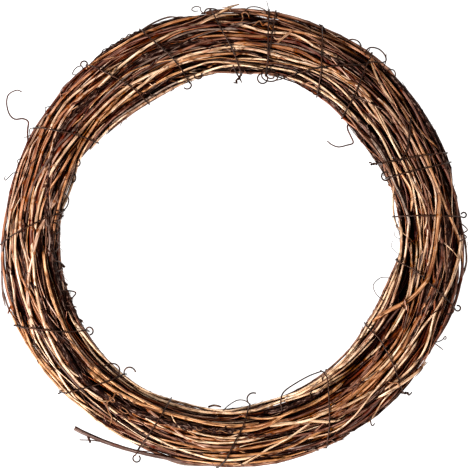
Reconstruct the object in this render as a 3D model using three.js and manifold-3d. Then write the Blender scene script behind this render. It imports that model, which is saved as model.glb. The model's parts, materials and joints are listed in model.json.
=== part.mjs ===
// A grapevine wreath: vine canes wound into a ring and bound with wire ties.
// Millimetres, +Z up. The wreath lies on its back on z = 0, with the ring's axis along Z.
import * as THREE from "three";
import { mergeVertices } from "three/addons/utils/BufferGeometryUtils.js";
import Module from "manifold-3d";

const wasm = await Module();
wasm.setup();

// Driving dimensions of the ring
const OUTER_DIAMETER = 298;
const HOLE_DIAMETER = 226;
const HOLE_SHIFT = { x: -1.9, y: -1.7 }; // the hole is off centre, so the ring is widest at upper right
const HOLE_BULGES = [
  { at: 38, depth: 3, width: 15 }, // canes that stand into the hole: angle, mm and width in degrees
  { at: 117, depth: 3.5, width: 14 },
  { at: 329, depth: 5, width: 15 },
];
const BUNDLE_HEIGHT = 26;
const SQUARENESS = 2.4; // of the bundle's section: 2 is an ellipse, more is flatter all round
const TWIST = 0.3; // turns of the bundle about itself, once round the ring

// Driving dimensions of the canes
const STATIONS = 36; // planes round the ring, each of which holds one ring of vertices of a cane
const CANE_SIDES = 5;
const CORE_CANE_SIDES = 4;
const OLD_CANE_SIDES = 6;
const CANE_GAP = 0.36;
const CANE_RADIUS = { least: 1.15, most: 2 };
const OLD_CANE_RADIUS = { least: 2.3, most: 3 };
const CANE_SPAN = { least: 0.76, most: 0.96 }; // of one turn round the ring
const PLAIN_CANES = 32;
const CORE_SHARE = 1 / 3; // of the plain canes, which lie where nothing shows them
const OLD_CANES = 3;
const BUTT_SWELL = 1.12; // the cut foot of a cane, over its mean thickness
const TIP_SHRINK = 0.78; // its growing tip
const KNUCKLE_SWELL = 0.11; // the swelling at each joint of the vine

// How a cane wanders: turns about the bundle for each turn round the ring, and its sways
const PLAIN_TWIST = { least: 0.6 * TWIST, most: 1.4 * TWIST };
const CROSSING_TWIST = { least: 0.7, most: 1.5 };
const CROSSING_SHARE = 0.34; // of the canes outside CROSSING_DEPTH
const CROSSING_DEPTH = 0.62;
const SWAY_TURN = { least: 0.1, most: 0.35 }; // radians about the bundle's middle
const SWAY_WAVES = { least: 1, most: 3.2 };
const SWAY_DEPTH = { least: 0.05, most: 0.16 }; // of the way from the middle to the skin
const DEPTH_WAVES = { least: 1.5, most: 4.5 };

// Driving dimensions of the ties
const WIRE_SIDE = 0.9;
const WIRE_GAP = 0.3;
const TIE_CORNERS = 18;
const CURL_LEAN = Math.PI / 4.5; // a curl leaves its tie at this angle from the skin's normal
const CURL_RISE = 0.12; // at each of its steps
const CURL_STEP = 30; // degrees
const SPIKE_STEPS = 4;
const STRAY_STEPS = 12;

// Driving dimensions of what grows from the canes
const TENDRIL_RADIUS = 0.45;
const TENDRIL_CLEAR = 1.2; // a tendril leaves its cane straight for this far
const TENDRIL_STEPS = 14;
const STUBS = 14;
const STUB_LENGTH = { least: 3, most: 6.5 };
const STUB_LEAN = Math.PI / 3.6; // from the skin's normal towards the run of the ring
const STUB_THICKNESS = 0.6; // of its cane's

// How firmly the packing holds each kind of cane to its route, and how it goes
const HOLD = { guided: 0.3, crossing: 0.05, plain: 0.015 };
const LAST_HOLD = 0.4; // of the first hold
const SMOOTHING = 0.22;
const CONTAINING = { packing: 0.3, settling: 0.04 };
const PUSH = 0.9;
const PACKING_PASSES = 740;
const SETTLING_PASSES = 260; // these only push canes apart

const TURN = 2 * Math.PI;
const STEP = TURN / STATIONS;
const GOLDEN_ANGLE = Math.PI * (3 - Math.sqrt(5));
const UP = new THREE.Vector3(0, 0, 1);
const FLOOR = WIRE_SIDE + WIRE_GAP; // the canes lie on the undersides of the ties
const MIDDLE_Z = FLOOR + BUNDLE_HEIGHT / 2;
const SEED = 20611;
const NEAR_ZERO = 1e-6;
const MERGE_WITHIN = 1e-4;
const SLIVER = 0.05; // a join leaves no edge or face thinner than this

const BARK = {
  peeled: new THREE.MeshStandardMaterial({ color: 0xc79a6a, roughness: 0.6, metalness: 0 }),
  orange: new THREE.MeshStandardMaterial({ color: 0xa8683c, roughness: 0.65, metalness: 0 }),
  brown: new THREE.MeshStandardMaterial({ color: 0x76462c, roughness: 0.7, metalness: 0 }),
  grey: new THREE.MeshStandardMaterial({ color: 0x75655a, roughness: 0.8, metalness: 0 }),
  old: new THREE.MeshStandardMaterial({ color: 0x3f281b, roughness: 0.9, metalness: 0 }),
};
const BARK_ORDER = ["orange", "brown", "peeled", "brown", "orange", "grey", "brown"];
const WIRE = new THREE.MeshStandardMaterial({ color: 0x2a1c15, roughness: 0.5, metalness: 0.6 });

// Canes that the eye follows on the front, from their routes: angle in degrees, radius in mm. Their
// height is that of the bundle's top where they lie inside it. reach lets one bow out of the bundle.
const GUIDED_CANES = [
  {
    name: "slanting_cane_1",
    bark: "peeled",
    mean: 1.5,
    route: [
      [84, 156], [91, 153], [98, 145], [106, 139], [120, 133], [133, 129], [149, 126], [164, 128],
      [180, 131], [189, 133], [206, 139], [221, 140], [235, 137], [255, 133], [280, 128],
      [320, 122], [350, 120], [380, 122],
    ],
  },
  {
    name: "slanting_cane_2",
    bark: "orange",
    mean: 1.7,
    route: [
      [110, 118], [145, 117], [165, 125], [180, 127], [192, 124], [213, 126], [231, 126],
      [240, 123], [250, 121], [275, 120], [300, 128], [320, 136], [350, 143], [400, 141], [440, 137],
    ],
  },
  {
    name: "cut_cane",
    bark: "grey",
    mean: 1.3,
    reach: 17,
    route: [
      [230, 166], [240, 154.5], [247, 150], [255, 150], [265, 148], [280, 147], [310, 143], [340, 137],
      [370, 130], [410, 126],
    ],
  },
  {
    name: "crossing_cane",
    bark: "orange",
    mean: 1.9,
    route: [
      [235, 118], [270, 117], [300, 114], [318, 112], [328, 114], [337, 121], [346, 131], [358, 139],
      [375, 143], [400, 146], [430, 147], [460, 144], [490, 138],
    ],
  },
  {
    name: "bowed_cane_right",
    bark: "brown",
    mean: 1,
    reach: 6,
    route: [
      [265, 134], [285, 137], [300, 142], [322, 146], [338, 153], [348, 156], [357, 153], [370, 147],
      [390, 144], [415, 147], [450, 140], [480, 132],
    ],
  },
  {
    name: "bowed_cane_left",
    bark: "orange",
    mean: 1.15,
    reach: 6,
    route: [
      [60, 128], [90, 131], [120, 138], [150, 144], [172, 150], [186, 155], [198, 155], [210, 150],
      [230, 146], [250, 140], [280, 132],
    ],
  },
  {
    name: "old_cane_front",
    bark: "old",
    sides: OLD_CANE_SIDES,
    mean: 2.5,
    route: [
      [150, 141], [185, 138], [205, 136], [219, 134], [234, 129.5], [248, 126], [270, 126],
      [290, 128], [310, 133], [335, 139], [370, 141],
    ],
  },
];

// The ties, by the angles at which each crosses the ring's outer and inner edge, and what its wire
// ends in: facing is 0 at the outer edge, 90 on the front and 180 at the inner edge. A curl has its
// radius and the angle that it turns through, and a stray end its route as angle, radius and height.
const TIES = [
  { outer: 96, inner: 87, end: { kind: "spike", facing: 165, length: 8 } },
  { outer: 81.3, inner: 78.3, end: { kind: "curl", facing: 172, radius: 3.3, sweep: 300 } },
  { outer: 67.5, inner: 59.5, end: { kind: "curl", facing: 160, radius: 1.9, sweep: 250 } },
  { outer: 53.6, inner: 47.9, end: { kind: "curl", facing: 150, radius: 2.2, sweep: 230 } },
  { outer: 21.8, inner: 27.6, end: { kind: "spike", facing: 172, length: 5 } },
  { outer: 19.4, inner: 21.6, end: { kind: "curl", facing: 165, radius: 2.8, sweep: 290 } },
  { outer: 5.5, inner: 7.9, end: { kind: "curl", facing: 10, radius: 1.7, sweep: 300 } },
  { outer: 342.3, inner: 353.3, end: { kind: "curl", facing: 15, radius: 1.8, sweep: 270 } },
  { outer: 317.5, inner: 327.6, end: { kind: "spike", facing: 30, length: 6 } },
  {
    outer: 292.8,
    inner: 305.5,
    end: {
      kind: "stray",
      facing: 172,
      route: [[299, 101, 24], [292, 104, 28], [287.5, 110, 30], [286.5, 117, 31]],
    },
  },
  { outer: 265.9, inner: 275.9, end: { kind: "curl", facing: 172, radius: 4.2, sweep: 170 } },
  { outer: 245.7, inner: 248.8, end: { kind: "curl", facing: 15, radius: 2.4, sweep: 310 } },
  { outer: 221.3, inner: 231.8, end: { kind: "curl", facing: 168, radius: 3.9, sweep: 180 } },
  { outer: 201.3, inner: 212.9, end: { kind: "curl", facing: 165, radius: 2.5, sweep: 260 } },
  { outer: 181.5, inner: 170, end: { kind: "spike", facing: 150, length: 4 } },
  { outer: 151.1, inner: 144.3 },
  { outer: 130.3, inner: 121.7, end: { kind: "curl", facing: 30, radius: 2.2, sweep: 220 } },
  { outer: 114.1, inner: 105.3, end: { kind: "curl", facing: 160, radius: 2.6, sweep: 210 } },
];

// Tendrils that stand clear of the bundle: where each grows, which way the skin faces there, and
// its route as angle, radius and height.
const TENDRILS = [
  { at: 154.5, facing: 12, route: [[151.5, 158, 22], [149.8, 168, 25], [147.8, 174, 28], [145.8, 174, 30]] },
  { at: 43.5, facing: 168, route: [[39.5, 102, 20], [38, 97, 22], [40.5, 93, 24], [45.5, 89.5, 25]] },
];

// One seeded generator of numbers from 0 to 1, so that the wreath is the same on each run.
function seeded(seed) {
  let state = seed;
  return () => {
    state = (state + 0x6d2b79f5) | 0;
    let mixed = Math.imul(state ^ (state >>> 15), 1 | state);
    mixed = (mixed + Math.imul(mixed ^ (mixed >>> 7), 61 | mixed)) ^ mixed;
    return ((mixed ^ (mixed >>> 14)) >>> 0) / 4294967296;
  };
}

const random = seeded(SEED);
const within = ({ least, most }) => least + (most - least) * random();
const { degToRad, radToDeg, lerp, clamp, euclideanModulo } = THREE.MathUtils;
const ringOut = (angle) => new THREE.Vector3(Math.cos(angle), Math.sin(angle), 0);
const ringAlong = (angle) => new THREE.Vector3(-Math.sin(angle), Math.cos(angle), 0);
const numbered = (word, index) => word + "_" + String(index + 1).padStart(2, "0");

// The bundle's middle radius and half width at an angle round the ring.
function bundleAt(angle) {
  let inner = HOLE_DIAMETER / 2 + HOLE_SHIFT.x * Math.cos(angle) + HOLE_SHIFT.y * Math.sin(angle);
  for (const { at, depth, width } of HOLE_BULGES) {
    const away = angle - degToRad(at);
    const nearest = away - TURN * Math.round(away / TURN);
    inner -= depth * Math.exp(-((nearest / degToRad(width)) ** 2));
  }
  const outer = OUTER_DIAMETER / 2;
  return { radius: (inner + outer) / 2, halfWidth: (outer - inner) / 2 };
}

// How far out a cane of a radius lies in the section: 0 in the middle, 1 against the skin.
function sectionLevel(x, z, radius, halfWidth) {
  const across = Math.abs(x) / (halfWidth - radius);
  const up = Math.abs(z - MIDDLE_Z) / (BUNDLE_HEIGHT / 2 - radius);
  return (across ** SQUARENESS + up ** SQUARENESS) ** (1 / SQUARENESS);
}

// A cane on the route that it is meant to take: wanted(angle, radius) gives its place in the
// section. It swells at its butt and at the knuckles between its joints, and thins to its tip.
function makeCane({ name, bark, sides = CANE_SIDES, mean, start, rings, wanted, hold, reach = 0 }) {
  const buttFirst = random() < 0.5;
  const knuckleEvery = 3 + Math.floor(random() * 2);
  const radii = Array.from({ length: rings }, (_, k) => {
    const along = buttFirst ? 1 - k / (rings - 1) : k / (rings - 1);
    const knuckle = k % knuckleEvery === 0 ? 1 + KNUCKLE_SWELL : 1;
    return mean * knuckle * lerp(BUTT_SWELL, TIP_SHRINK, along);
  });
  const target = radii.map((radius, k) => wanted((start + k) * STEP, radius));
  return {
    name,
    bark,
    sides,
    start,
    rings,
    radii,
    hold,
    reach,
    target,
    turn: random() * TURN,
    x: target.map((place) => place.x),
    z: target.map((place) => place.z),
  };
}

// One of the canes that fill the bundle, spread over its section as seeds are in a flower head.
function plainCane(index, count, settings) {
  const depth = Math.sqrt((index + 0.5) / count);
  const crosses = depth > CROSSING_DEPTH && random() < CROSSING_SHARE;
  const way = crosses && random() < 0.5 ? -1 : 1;
  const twist = way * within(crosses ? CROSSING_TWIST : PLAIN_TWIST);
  const sway = { size: within(SWAY_TURN), waves: within(SWAY_WAVES), phase: random() * TURN };
  const dip = { size: within(SWAY_DEPTH), waves: within(DEPTH_WAVES), phase: random() * TURN };
  const rings = Math.round(STATIONS * within(CANE_SPAN));
  const start = Math.floor(random() * STATIONS);
  const wave = ({ size, waves, phase }, angle) => size * Math.sin(waves * angle + phase);
  return makeCane({
    ...settings,
    start,
    rings,
    hold: crosses ? HOLD.crossing : HOLD.plain,
    wanted: (angle, radius) => {
      const turn = index * GOLDEN_ANGLE + twist * (angle - start * STEP) + wave(sway, angle);
      const level = Math.min(1, depth + wave(dip, angle));
      return {
        x: level * Math.cos(turn) * (bundleAt(angle).halfWidth - radius),
        z: MIDDLE_Z + level * Math.sin(turn) * (BUNDLE_HEIGHT / 2 - radius),
      };
    },
  });
}

// A cane of the front, led along its route on top of the bundle.
function guidedCane({ route, ...settings }) {
  const start = Math.ceil(degToRad(route[0][0]) / STEP - NEAR_ZERO);
  const end = Math.floor(degToRad(route[route.length - 1][0]) / STEP + NEAR_ZERO);
  const outAt = (degrees) => {
    const after = route.findIndex(([at], k) => k > 0 && (at >= degrees || k === route.length - 1));
    const [from, to] = [route[after - 1], route[after]];
    return lerp(from[1], to[1], (degrees - from[0]) / (to[0] - from[0]));
  };
  return makeCane({
    ...settings,
    start,
    rings: Math.min(end - start + 1, STATIONS - 1),
    hold: HOLD.guided,
    wanted: (angle, radius) => {
      const { radius: middle, halfWidth } = bundleAt(angle);
      const x = outAt(radToDeg(angle)) - middle;
      const across = Math.min(0.94, Math.abs(x) / (halfWidth - radius));
      const top = (1 - across ** SQUARENESS) ** (1 / SQUARENESS);
      return { x, z: MIDDLE_Z + top * (BUNDLE_HEIGHT / 2 - radius) };
    },
  });
}

// All the canes, before they are packed.
function layOutCanes() {
  const canes = GUIDED_CANES.map(guidedCane);
  for (let i = 0; i < OLD_CANES; i++) {
    const mean = within(OLD_CANE_RADIUS);
    const settings = { name: numbered("old_cane", i), bark: "old", sides: OLD_CANE_SIDES, mean };
    canes.push(plainCane(2 * i + 1, 2 * OLD_CANES, settings));
  }
  for (let i = 0; i < PLAIN_CANES; i++) {
    const settings = {
      name: numbered("cane", i),
      bark: BARK_ORDER[i % BARK_ORDER.length],
      sides: i < PLAIN_CANES * CORE_SHARE ? CORE_CANE_SIDES : CANE_SIDES,
      mean: within(CANE_RADIUS),
    };
    canes.push(plainCane(i, PLAIN_CANES, settings));
  }
  return canes;
}

// Pushes two canes apart where they come too near, at a share t of the way from ring ka of one and
// ring kb of the other to their next rings.
function separate(a, ka, b, kb, t) {
  const between = (list, k) => (t > 0 ? lerp(list[k], list[k + 1], t) : list[k]);
  const dx = between(b.x, kb) - between(a.x, ka);
  const dz = between(b.z, kb) - between(a.z, ka);
  const apart = Math.hypot(dx, dz) || NEAR_ZERO;
  const lack = between(a.radii, ka) + between(b.radii, kb) + CANE_GAP - apart;
  if (lack <= 0) return;
  const norm = (1 - t) ** 2 + t ** 2;
  const push = (cane, k, size) => {
    for (const [ring, share] of t > 0 ? [[k, 1 - t], [k + 1, t]] : [[k, 1]]) {
      cane.x[ring] += ((dx / apart) * size * share) / norm;
      cane.z[ring] += ((dz / apart) * size * share) / norm;
    }
  };
  const heft = b.radii[kb] ** 2 / (a.radii[ka] ** 2 + b.radii[kb] ** 2);
  push(a, ka, -lack * heft * PUSH);
  push(b, kb, lack * (1 - heft) * PUSH);
}

// The share of the way between two planes at which two canes come nearest.
function nearestShare(a, ka, b, kb) {
  const x = b.x[kb] - a.x[ka];
  const z = b.z[kb] - a.z[ka];
  const dx = b.x[kb + 1] - a.x[ka + 1] - x;
  const dz = b.z[kb + 1] - a.z[ka + 1] - z;
  const length = dx * dx + dz * dz;
  return length < NEAR_ZERO ? 0.5 : clamp(-(x * dx + z * dz) / length, 0.05, 0.95);
}

// Draws a cane towards its wanted route, and evens out its bends.
function ease(cane, pull) {
  for (let k = 0; k < cane.rings; k++) {
    cane.x[k] += (cane.target[k].x - cane.x[k]) * pull;
    cane.z[k] += (cane.target[k].z - cane.z[k]) * pull;
  }
  for (const list of [cane.x, cane.z]) {
    const before = list.slice();
    for (let k = 1; k < cane.rings - 1; k++)
      list[k] += SMOOTHING * ((before[k - 1] + before[k + 1]) / 2 - before[k]);
  }
}

// Keeps a cane in the bundle's section and above the undersides of the ties.
function contain(cane, firm) {
  for (let k = 0; k < cane.rings; k++) {
    const halfWidth = bundleAt((cane.start + k) * STEP).halfWidth + cane.reach;
    const level = sectionLevel(cane.x[k], cane.z[k], cane.radii[k], halfWidth);
    if (level > 1) {
      const shrink = 1 + (1 / level - 1) * firm;
      cane.x[k] *= shrink;
      cane.z[k] = MIDDLE_Z + (cane.z[k] - MIDDLE_Z) * shrink;
    }
    cane.z[k] = Math.max(cane.z[k], FLOOR + cane.radii[k]);
  }
}

// Pushes apart all the canes that come too near in one plane or on the way to the next.
function separateAt(canes, station) {
  const here = canes
    .map((cane) => [cane, euclideanModulo(station - cane.start, STATIONS)])
    .filter(([cane, k]) => k < cane.rings);
  here.forEach(([a, ka], i) => {
    for (const [b, kb] of here.slice(i + 1)) {
      separate(a, ka, b, kb, 0);
      if (ka + 1 < a.rings && kb + 1 < b.rings) separate(a, ka, b, kb, nearestShare(a, ka, b, kb));
    }
  });
}

// Packs the canes round the ring so that none cuts another.
function packCanes(canes) {
  for (let pass = 0; pass < PACKING_PASSES + SETTLING_PASSES; pass++) {
    const packing = pass < PACKING_PASSES;
    for (const cane of canes) {
      if (packing) ease(cane, cane.hold * lerp(1, LAST_HOLD, pass / PACKING_PASSES));
      contain(cane, packing ? CONTAINING.packing : CONTAINING.settling);
    }
    for (let station = 0; station < STATIONS; station++) separateAt(canes, station);
  }
  for (const cane of canes) contain(cane, 0);
}

// A closed cylinder of unit radius about the Y axis, with one ring of vertices at each whole step.
function closedCylinder(sides, steps) {
  const geometry = new THREE.CylinderGeometry(1, 1, steps, sides, steps);
  geometry.deleteAttribute("normal");
  geometry.deleteAttribute("uv");
  return mergeVertices(geometry, MERGE_WITHIN);
}

// Moves each vertex of a closed cylinder to place(step, spoke, share), where spoke is its angle
// about the cylinder and share its distance from the cylinder's axis.
function bend(geometry, steps, place) {
  const position = geometry.attributes.position;
  for (let i = 0; i < position.count; i++) {
    const [x, y, z] = [position.getX(i), position.getY(i), position.getZ(i)];
    position.setXYZ(i, ...place(Math.round(y + steps / 2), Math.atan2(z, x), Math.hypot(x, z)));
  }
  return solidOf(geometry);
}

// A closed geometry as a solid for joining, and back.
function solidOf(geometry) {
  return new wasm.Manifold(
    new wasm.Mesh({
      numProp: 3,
      vertProperties: geometry.attributes.position.array,
      triVerts: new Uint32Array(geometry.index.array),
    }),
  );
}

function geometryOf(solid) {
  const { vertProperties, triVerts } = solid.getMesh();
  return new THREE.BufferGeometry()
    .setAttribute("position", new THREE.BufferAttribute(vertProperties, 3))
    .setIndex(new THREE.BufferAttribute(triVerts, 1));
}

// Two solids joined into one.
function joined(solid, other) {
  return solid.add(other).asOriginal().simplify(SLIVER);
}

// A cane as a cylinder bent round the ring, with one ring of vertices in each plane that it crosses.
function caneSolid(cane) {
  const steps = cane.rings - 1;
  return bend(closedCylinder(cane.sides, steps), steps, (step, spoke, share) => {
    const k = steps - step;
    const angle = (cane.start + k) * STEP;
    const radius = share * cane.radii[k];
    const out = bundleAt(angle).radius + cane.x[k] + radius * Math.cos(cane.turn - spoke);
    const up = cane.z[k] + radius * Math.sin(cane.turn - spoke);
    return [out * Math.cos(angle), out * Math.sin(angle), up];
  });
}

// A tapered strand along a curve: radiusAt(0 to 1) is its thickness, and its section turns a little
// at each step.
function strandSolid(curve, steps, sides, radiusAt, turnEach = 0) {
  const frames = curve.computeFrenetFrames(steps, false);
  return bend(closedCylinder(sides, steps), steps, (k, spoke, share) => {
    const radius = share * radiusAt(k / steps);
    return curve
      .getPointAt(k / steps)
      .addScaledVector(frames.normals[k], radius * Math.cos(spoke - k * turnEach))
      .addScaledVector(frames.binormals[k], -radius * Math.sin(spoke - k * turnEach))
      .toArray();
  });
}

// The place and thickness of a cane where it crosses a plane at an angle round the ring, or null.
// Between two of its rings a cane runs straight, so it passes inside the round.
function crossing(cane, angle) {
  const along = euclideanModulo(angle / STEP - cane.start, STATIONS);
  const k = Math.min(Math.floor(along), cane.rings - 2);
  const t = along - k;
  if (t > 1) return null;
  const mix = (list) => lerp(list[k], list[k + 1], t);
  const middles = [0, 1].map((next) => bundleAt((cane.start + k + next) * STEP).radius);
  const sag = Math.cos(STEP / 2) / Math.cos((t - 0.5) * STEP);
  return { out: (lerp(...middles, t) + mix(cane.x)) * sag, up: mix(cane.z), radius: mix(cane.radii) };
}

// How far the bundle reaches from its middle in a direction of its section, and the cane that does.
function reachOf(canes, angle, direction) {
  const middle = bundleAt(angle).radius;
  let best = { reach: -Infinity };
  for (const cane of canes) {
    const place = crossing(cane, angle);
    if (!place) continue;
    const side = (place.out - middle) * Math.cos(direction);
    const reach = side + (place.up - MIDDLE_Z) * Math.sin(direction) + place.radius;
    if (reach > best.reach) best = { reach, cane, place };
  }
  return best;
}

// The direction in space of a direction of the section at an angle round the ring.
function skinNormal(angle, direction) {
  return ringOut(angle).multiplyScalar(Math.cos(direction)).addScaledVector(UP, Math.sin(direction));
}

// A place round the ring, from its angle in degrees, its distance from the axis and its height.
function placeRound([degrees, out, up]) {
  return ringOut(degToRad(degrees)).multiplyScalar(out).addScaledVector(UP, up);
}

// The corners of the wire's middle line round the bundle. It goes in straight runs, each of which
// touches the bundle's skin in its own direction, so that the wire lies outside every cane. The
// first run lies flat below the bundle.
function tieCorners(canes, { outer, inner }) {
  const sector = TURN / TIE_CORNERS;
  const angleAt = (direction) =>
    degToRad((outer + inner) / 2) + degToRad((outer - inner) / 2) * Math.cos(direction);
  const directions = Array.from({ length: TIE_CORNERS }, (_, k) => k * sector - Math.PI / 2);
  const reaches = directions.map((direction, k) => {
    if (k === 0) return MIDDLE_Z - WIRE_SIDE / 2;
    const angles = [-sector / 2, 0, sector / 2].map((turn) => angleAt(direction + turn));
    const reach = Math.max(...angles.map((angle) => reachOf(canes, angle, direction).reach));
    return reach + WIRE_GAP + WIRE_SIDE / 2;
  });
  return directions.map((direction, k) => {
    const after = direction + sector;
    const [reach, next] = [reaches[k], reaches[(k + 1) % TIE_CORNERS]];
    const x = (reach * Math.sin(after) - next * Math.sin(direction)) / Math.sin(sector);
    const z = (next * Math.cos(direction) - reach * Math.cos(after)) / Math.sin(sector);
    const facing = direction + sector / 2;
    const angle = angleAt(Math.atan2(z, x));
    const point = placeRound([radToDeg(angle), bundleAt(angle).radius + x, MIDDLE_Z + z]);
    return { point, normal: skinNormal(angle, facing), angle, facing };
  });
}

// The wire of a tie: a torus bent round the corners, square in section so that it lies flat.
function tieLoop(corners) {
  const bore = 2; // of the torus that is bent, whose tube has a radius of 1
  const torus = new THREE.TorusGeometry(bore, 1, 4, TIE_CORNERS);
  torus.deleteAttribute("normal");
  torus.deleteAttribute("uv");
  const geometry = mergeVertices(torus, MERGE_WITHIN);
  const position = geometry.attributes.position;
  const sector = TURN / TIE_CORNERS;
  const half = WIRE_SIDE / Math.SQRT2;
  const corner = (k) => corners[euclideanModulo(k, TIE_CORNERS)];
  for (let i = 0; i < position.count; i++) {
    const [x, y, z] = [position.getX(i), position.getY(i), position.getZ(i)];
    const k = Math.round(Math.atan2(y, x) / sector);
    const spoke = Math.atan2(z, Math.hypot(x, y) - bore) + Math.PI / 4;
    const { point, normal } = corner(k);
    const along = corner(k + 1).point.clone().sub(corner(k - 1).point);
    const side = normal.clone().cross(along).normalize();
    const place = point.clone().addScaledVector(side, half * Math.sin(spoke));
    place.addScaledVector(normal, (half * Math.cos(spoke)) / Math.cos(sector / 2));
    const rests = place.z < WIRE_SIDE / 4;
    position.setXYZ(i, place.x, place.y, rests ? 0 : place.z);
  }
  return solidOf(geometry);
}

// The end of a tie's wire: a curl, both ends twisted into a spike, or a long stray end.
function tieEnd(corners, end) {
  const facing = degToRad(end.facing);
  const nearer = (a, b) => (Math.cos(a.facing - facing) > Math.cos(b.facing - facing) ? a : b);
  const { point, normal, angle } = corners.reduce(nearer);
  const along = ringAlong(angle);
  const from = (out, on) => point.clone().addScaledVector(normal, out).addScaledVector(along, on);
  const wireRadius = () => WIRE_SIDE / 2;
  if (end.kind === "spike") {
    const line = new THREE.LineCurve3(point, from(0.85 * end.length, 0.5 * end.length));
    return strandSolid(line, SPIKE_STEPS, 4, (t) => WIRE_SIDE * (0.85 - 0.3 * t), Math.PI / 4);
  }
  if (end.kind === "stray") {
    const curve = new THREE.CatmullRomCurve3([point, from(2.5, -1.5), ...end.route.map(placeRound)]);
    return strandSolid(curve, STRAY_STEPS, 4, wireRadius);
  }
  const steps = Math.round(end.sweep / CURL_STEP);
  const points = Array.from({ length: steps + 1 }, (_, k) => {
    const turn = Math.PI + CURL_LEAN + (k / steps) * degToRad(end.sweep);
    const out = end.radius * (Math.cos(CURL_LEAN) + Math.cos(turn));
    const on = end.radius * (Math.sin(CURL_LEAN) + Math.sin(turn));
    return from(out, on).addScaledVector(UP, CURL_RISE * k);
  });
  return strandSolid(new THREE.CatmullRomCurve3(points), steps, 4, wireRadius);
}

// The cane that stands furthest out in a direction of the section, and the middle of it.
function rootAt(canes, angle, facing) {
  const { cane, place } = reachOf(canes, angle, facing);
  return { cane, radius: place.radius, root: placeRound([radToDeg(angle), place.out, place.up]) };
}

// A tendril, grown from the middle of its cane.
function makeTendril(canes, { at, facing, route }) {
  const angle = degToRad(at);
  const { cane, radius, root } = rootAt(canes, angle, degToRad(facing));
  const normal = skinNormal(angle, degToRad(facing));
  const bud = root.clone().addScaledVector(normal, radius + TENDRIL_CLEAR);
  const curve = new THREE.CatmullRomCurve3([root, bud, ...route.map(placeRound)]);
  const solid = strandSolid(curve, TENDRIL_STEPS, 4, (t) => TENDRIL_RADIUS * (1.2 - 0.4 * t));
  return { cane, solid };
}

// A short cut side shoot, grown from the middle of its cane, and the room round it.
function makeStub(canes, angle, facing, length) {
  const { cane, radius, root } = rootAt(canes, angle, facing);
  const way = skinNormal(angle, facing).multiplyScalar(Math.cos(STUB_LEAN));
  way.addScaledVector(ringAlong(angle), Math.sin(STUB_LEAN));
  const line = new THREE.LineCurve3(root, root.clone().addScaledVector(way, radius + length));
  const thickness = (t) => STUB_THICKNESS * radius * (1 - 0.2 * t);
  const solid = strandSolid(line, 1, 4, thickness);
  const room = strandSolid(line, 1, 4, (t) => thickness(t) + CANE_GAP);
  return { cane, solid, room };
}

// The canes' solids, each with the tendrils and stubs that grow on it. A stub is only where it
// clears every other piece.
function growCanes(canes, ties) {
  const solids = new Map(canes.map((cane) => [cane, caneSolid(cane)]));
  const clear = (room, cane) =>
    ties.every((tie) => tie.intersect(room).isEmpty()) &&
    canes.every((other) => other === cane || solids.get(other).intersect(room).isEmpty());
  const join = ({ cane, solid }) => solids.set(cane, joined(solids.get(cane), solid));
  for (const settings of TENDRILS) join(makeTendril(canes, settings));
  let grown = 0;
  while (grown < STUBS) {
    const angle = (Math.floor(random() * STATIONS) + within({ least: 0.3, most: 0.7 })) * STEP;
    const facing = degToRad(within({ least: -10, most: 190 }));
    const stub = makeStub(canes, angle, facing, within(STUB_LENGTH));
    if (!clear(stub.room, stub.cane)) continue;
    join(stub);
    grown++;
  }
  return solids;
}

function addPiece(group, name, solid, material) {
  const mesh = new THREE.Mesh(geometryOf(solid), material);
  mesh.name = name;
  group.add(mesh);
}

const canes = layOutCanes();
packCanes(canes);
const ties = TIES.map((tie) => {
  const corners = tieCorners(canes, tie);
  const loop = tieLoop(corners);
  return tie.end ? joined(loop, tieEnd(corners, tie.end)) : loop;
});

const wreath = new THREE.Group();
for (const [cane, solid] of growCanes(canes, ties)) addPiece(wreath, cane.name, solid, BARK[cane.bark]);
ties.forEach((solid, i) => addPiece(wreath, numbered("tie", i), solid, WIRE));

export default wreath;
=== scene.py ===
"""Looks of a grapevine wreath: canes, thin shoots, loose bark, tendrils and tie wire.

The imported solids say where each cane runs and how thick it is. Each cane is rolled again round
that route with knuckles, buds, ridges and cut ends, thin shoots are laid in the grooves between
the canes, and wire is wound over all of it.
"""

import json
import logging
import math
from dataclasses import dataclass
from enum import Enum

import bmesh
import bpy
import numpy as np
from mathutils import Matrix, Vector


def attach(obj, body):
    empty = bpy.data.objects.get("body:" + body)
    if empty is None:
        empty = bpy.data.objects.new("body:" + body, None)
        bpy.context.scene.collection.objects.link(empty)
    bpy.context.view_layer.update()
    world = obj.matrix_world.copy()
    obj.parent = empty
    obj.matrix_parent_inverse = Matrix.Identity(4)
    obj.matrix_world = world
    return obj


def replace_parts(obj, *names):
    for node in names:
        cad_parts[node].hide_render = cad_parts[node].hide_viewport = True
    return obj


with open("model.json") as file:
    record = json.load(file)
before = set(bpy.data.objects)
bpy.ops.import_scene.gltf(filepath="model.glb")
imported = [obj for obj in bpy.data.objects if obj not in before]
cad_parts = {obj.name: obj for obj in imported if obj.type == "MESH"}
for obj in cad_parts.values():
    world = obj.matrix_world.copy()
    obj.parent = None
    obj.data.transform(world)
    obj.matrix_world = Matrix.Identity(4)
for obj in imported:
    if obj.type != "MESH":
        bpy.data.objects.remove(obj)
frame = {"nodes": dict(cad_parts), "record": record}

LOG = logging.getLogger("wreath")
MM = 0.001
TURN = 2 * math.pi
SEED = 7719

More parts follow.
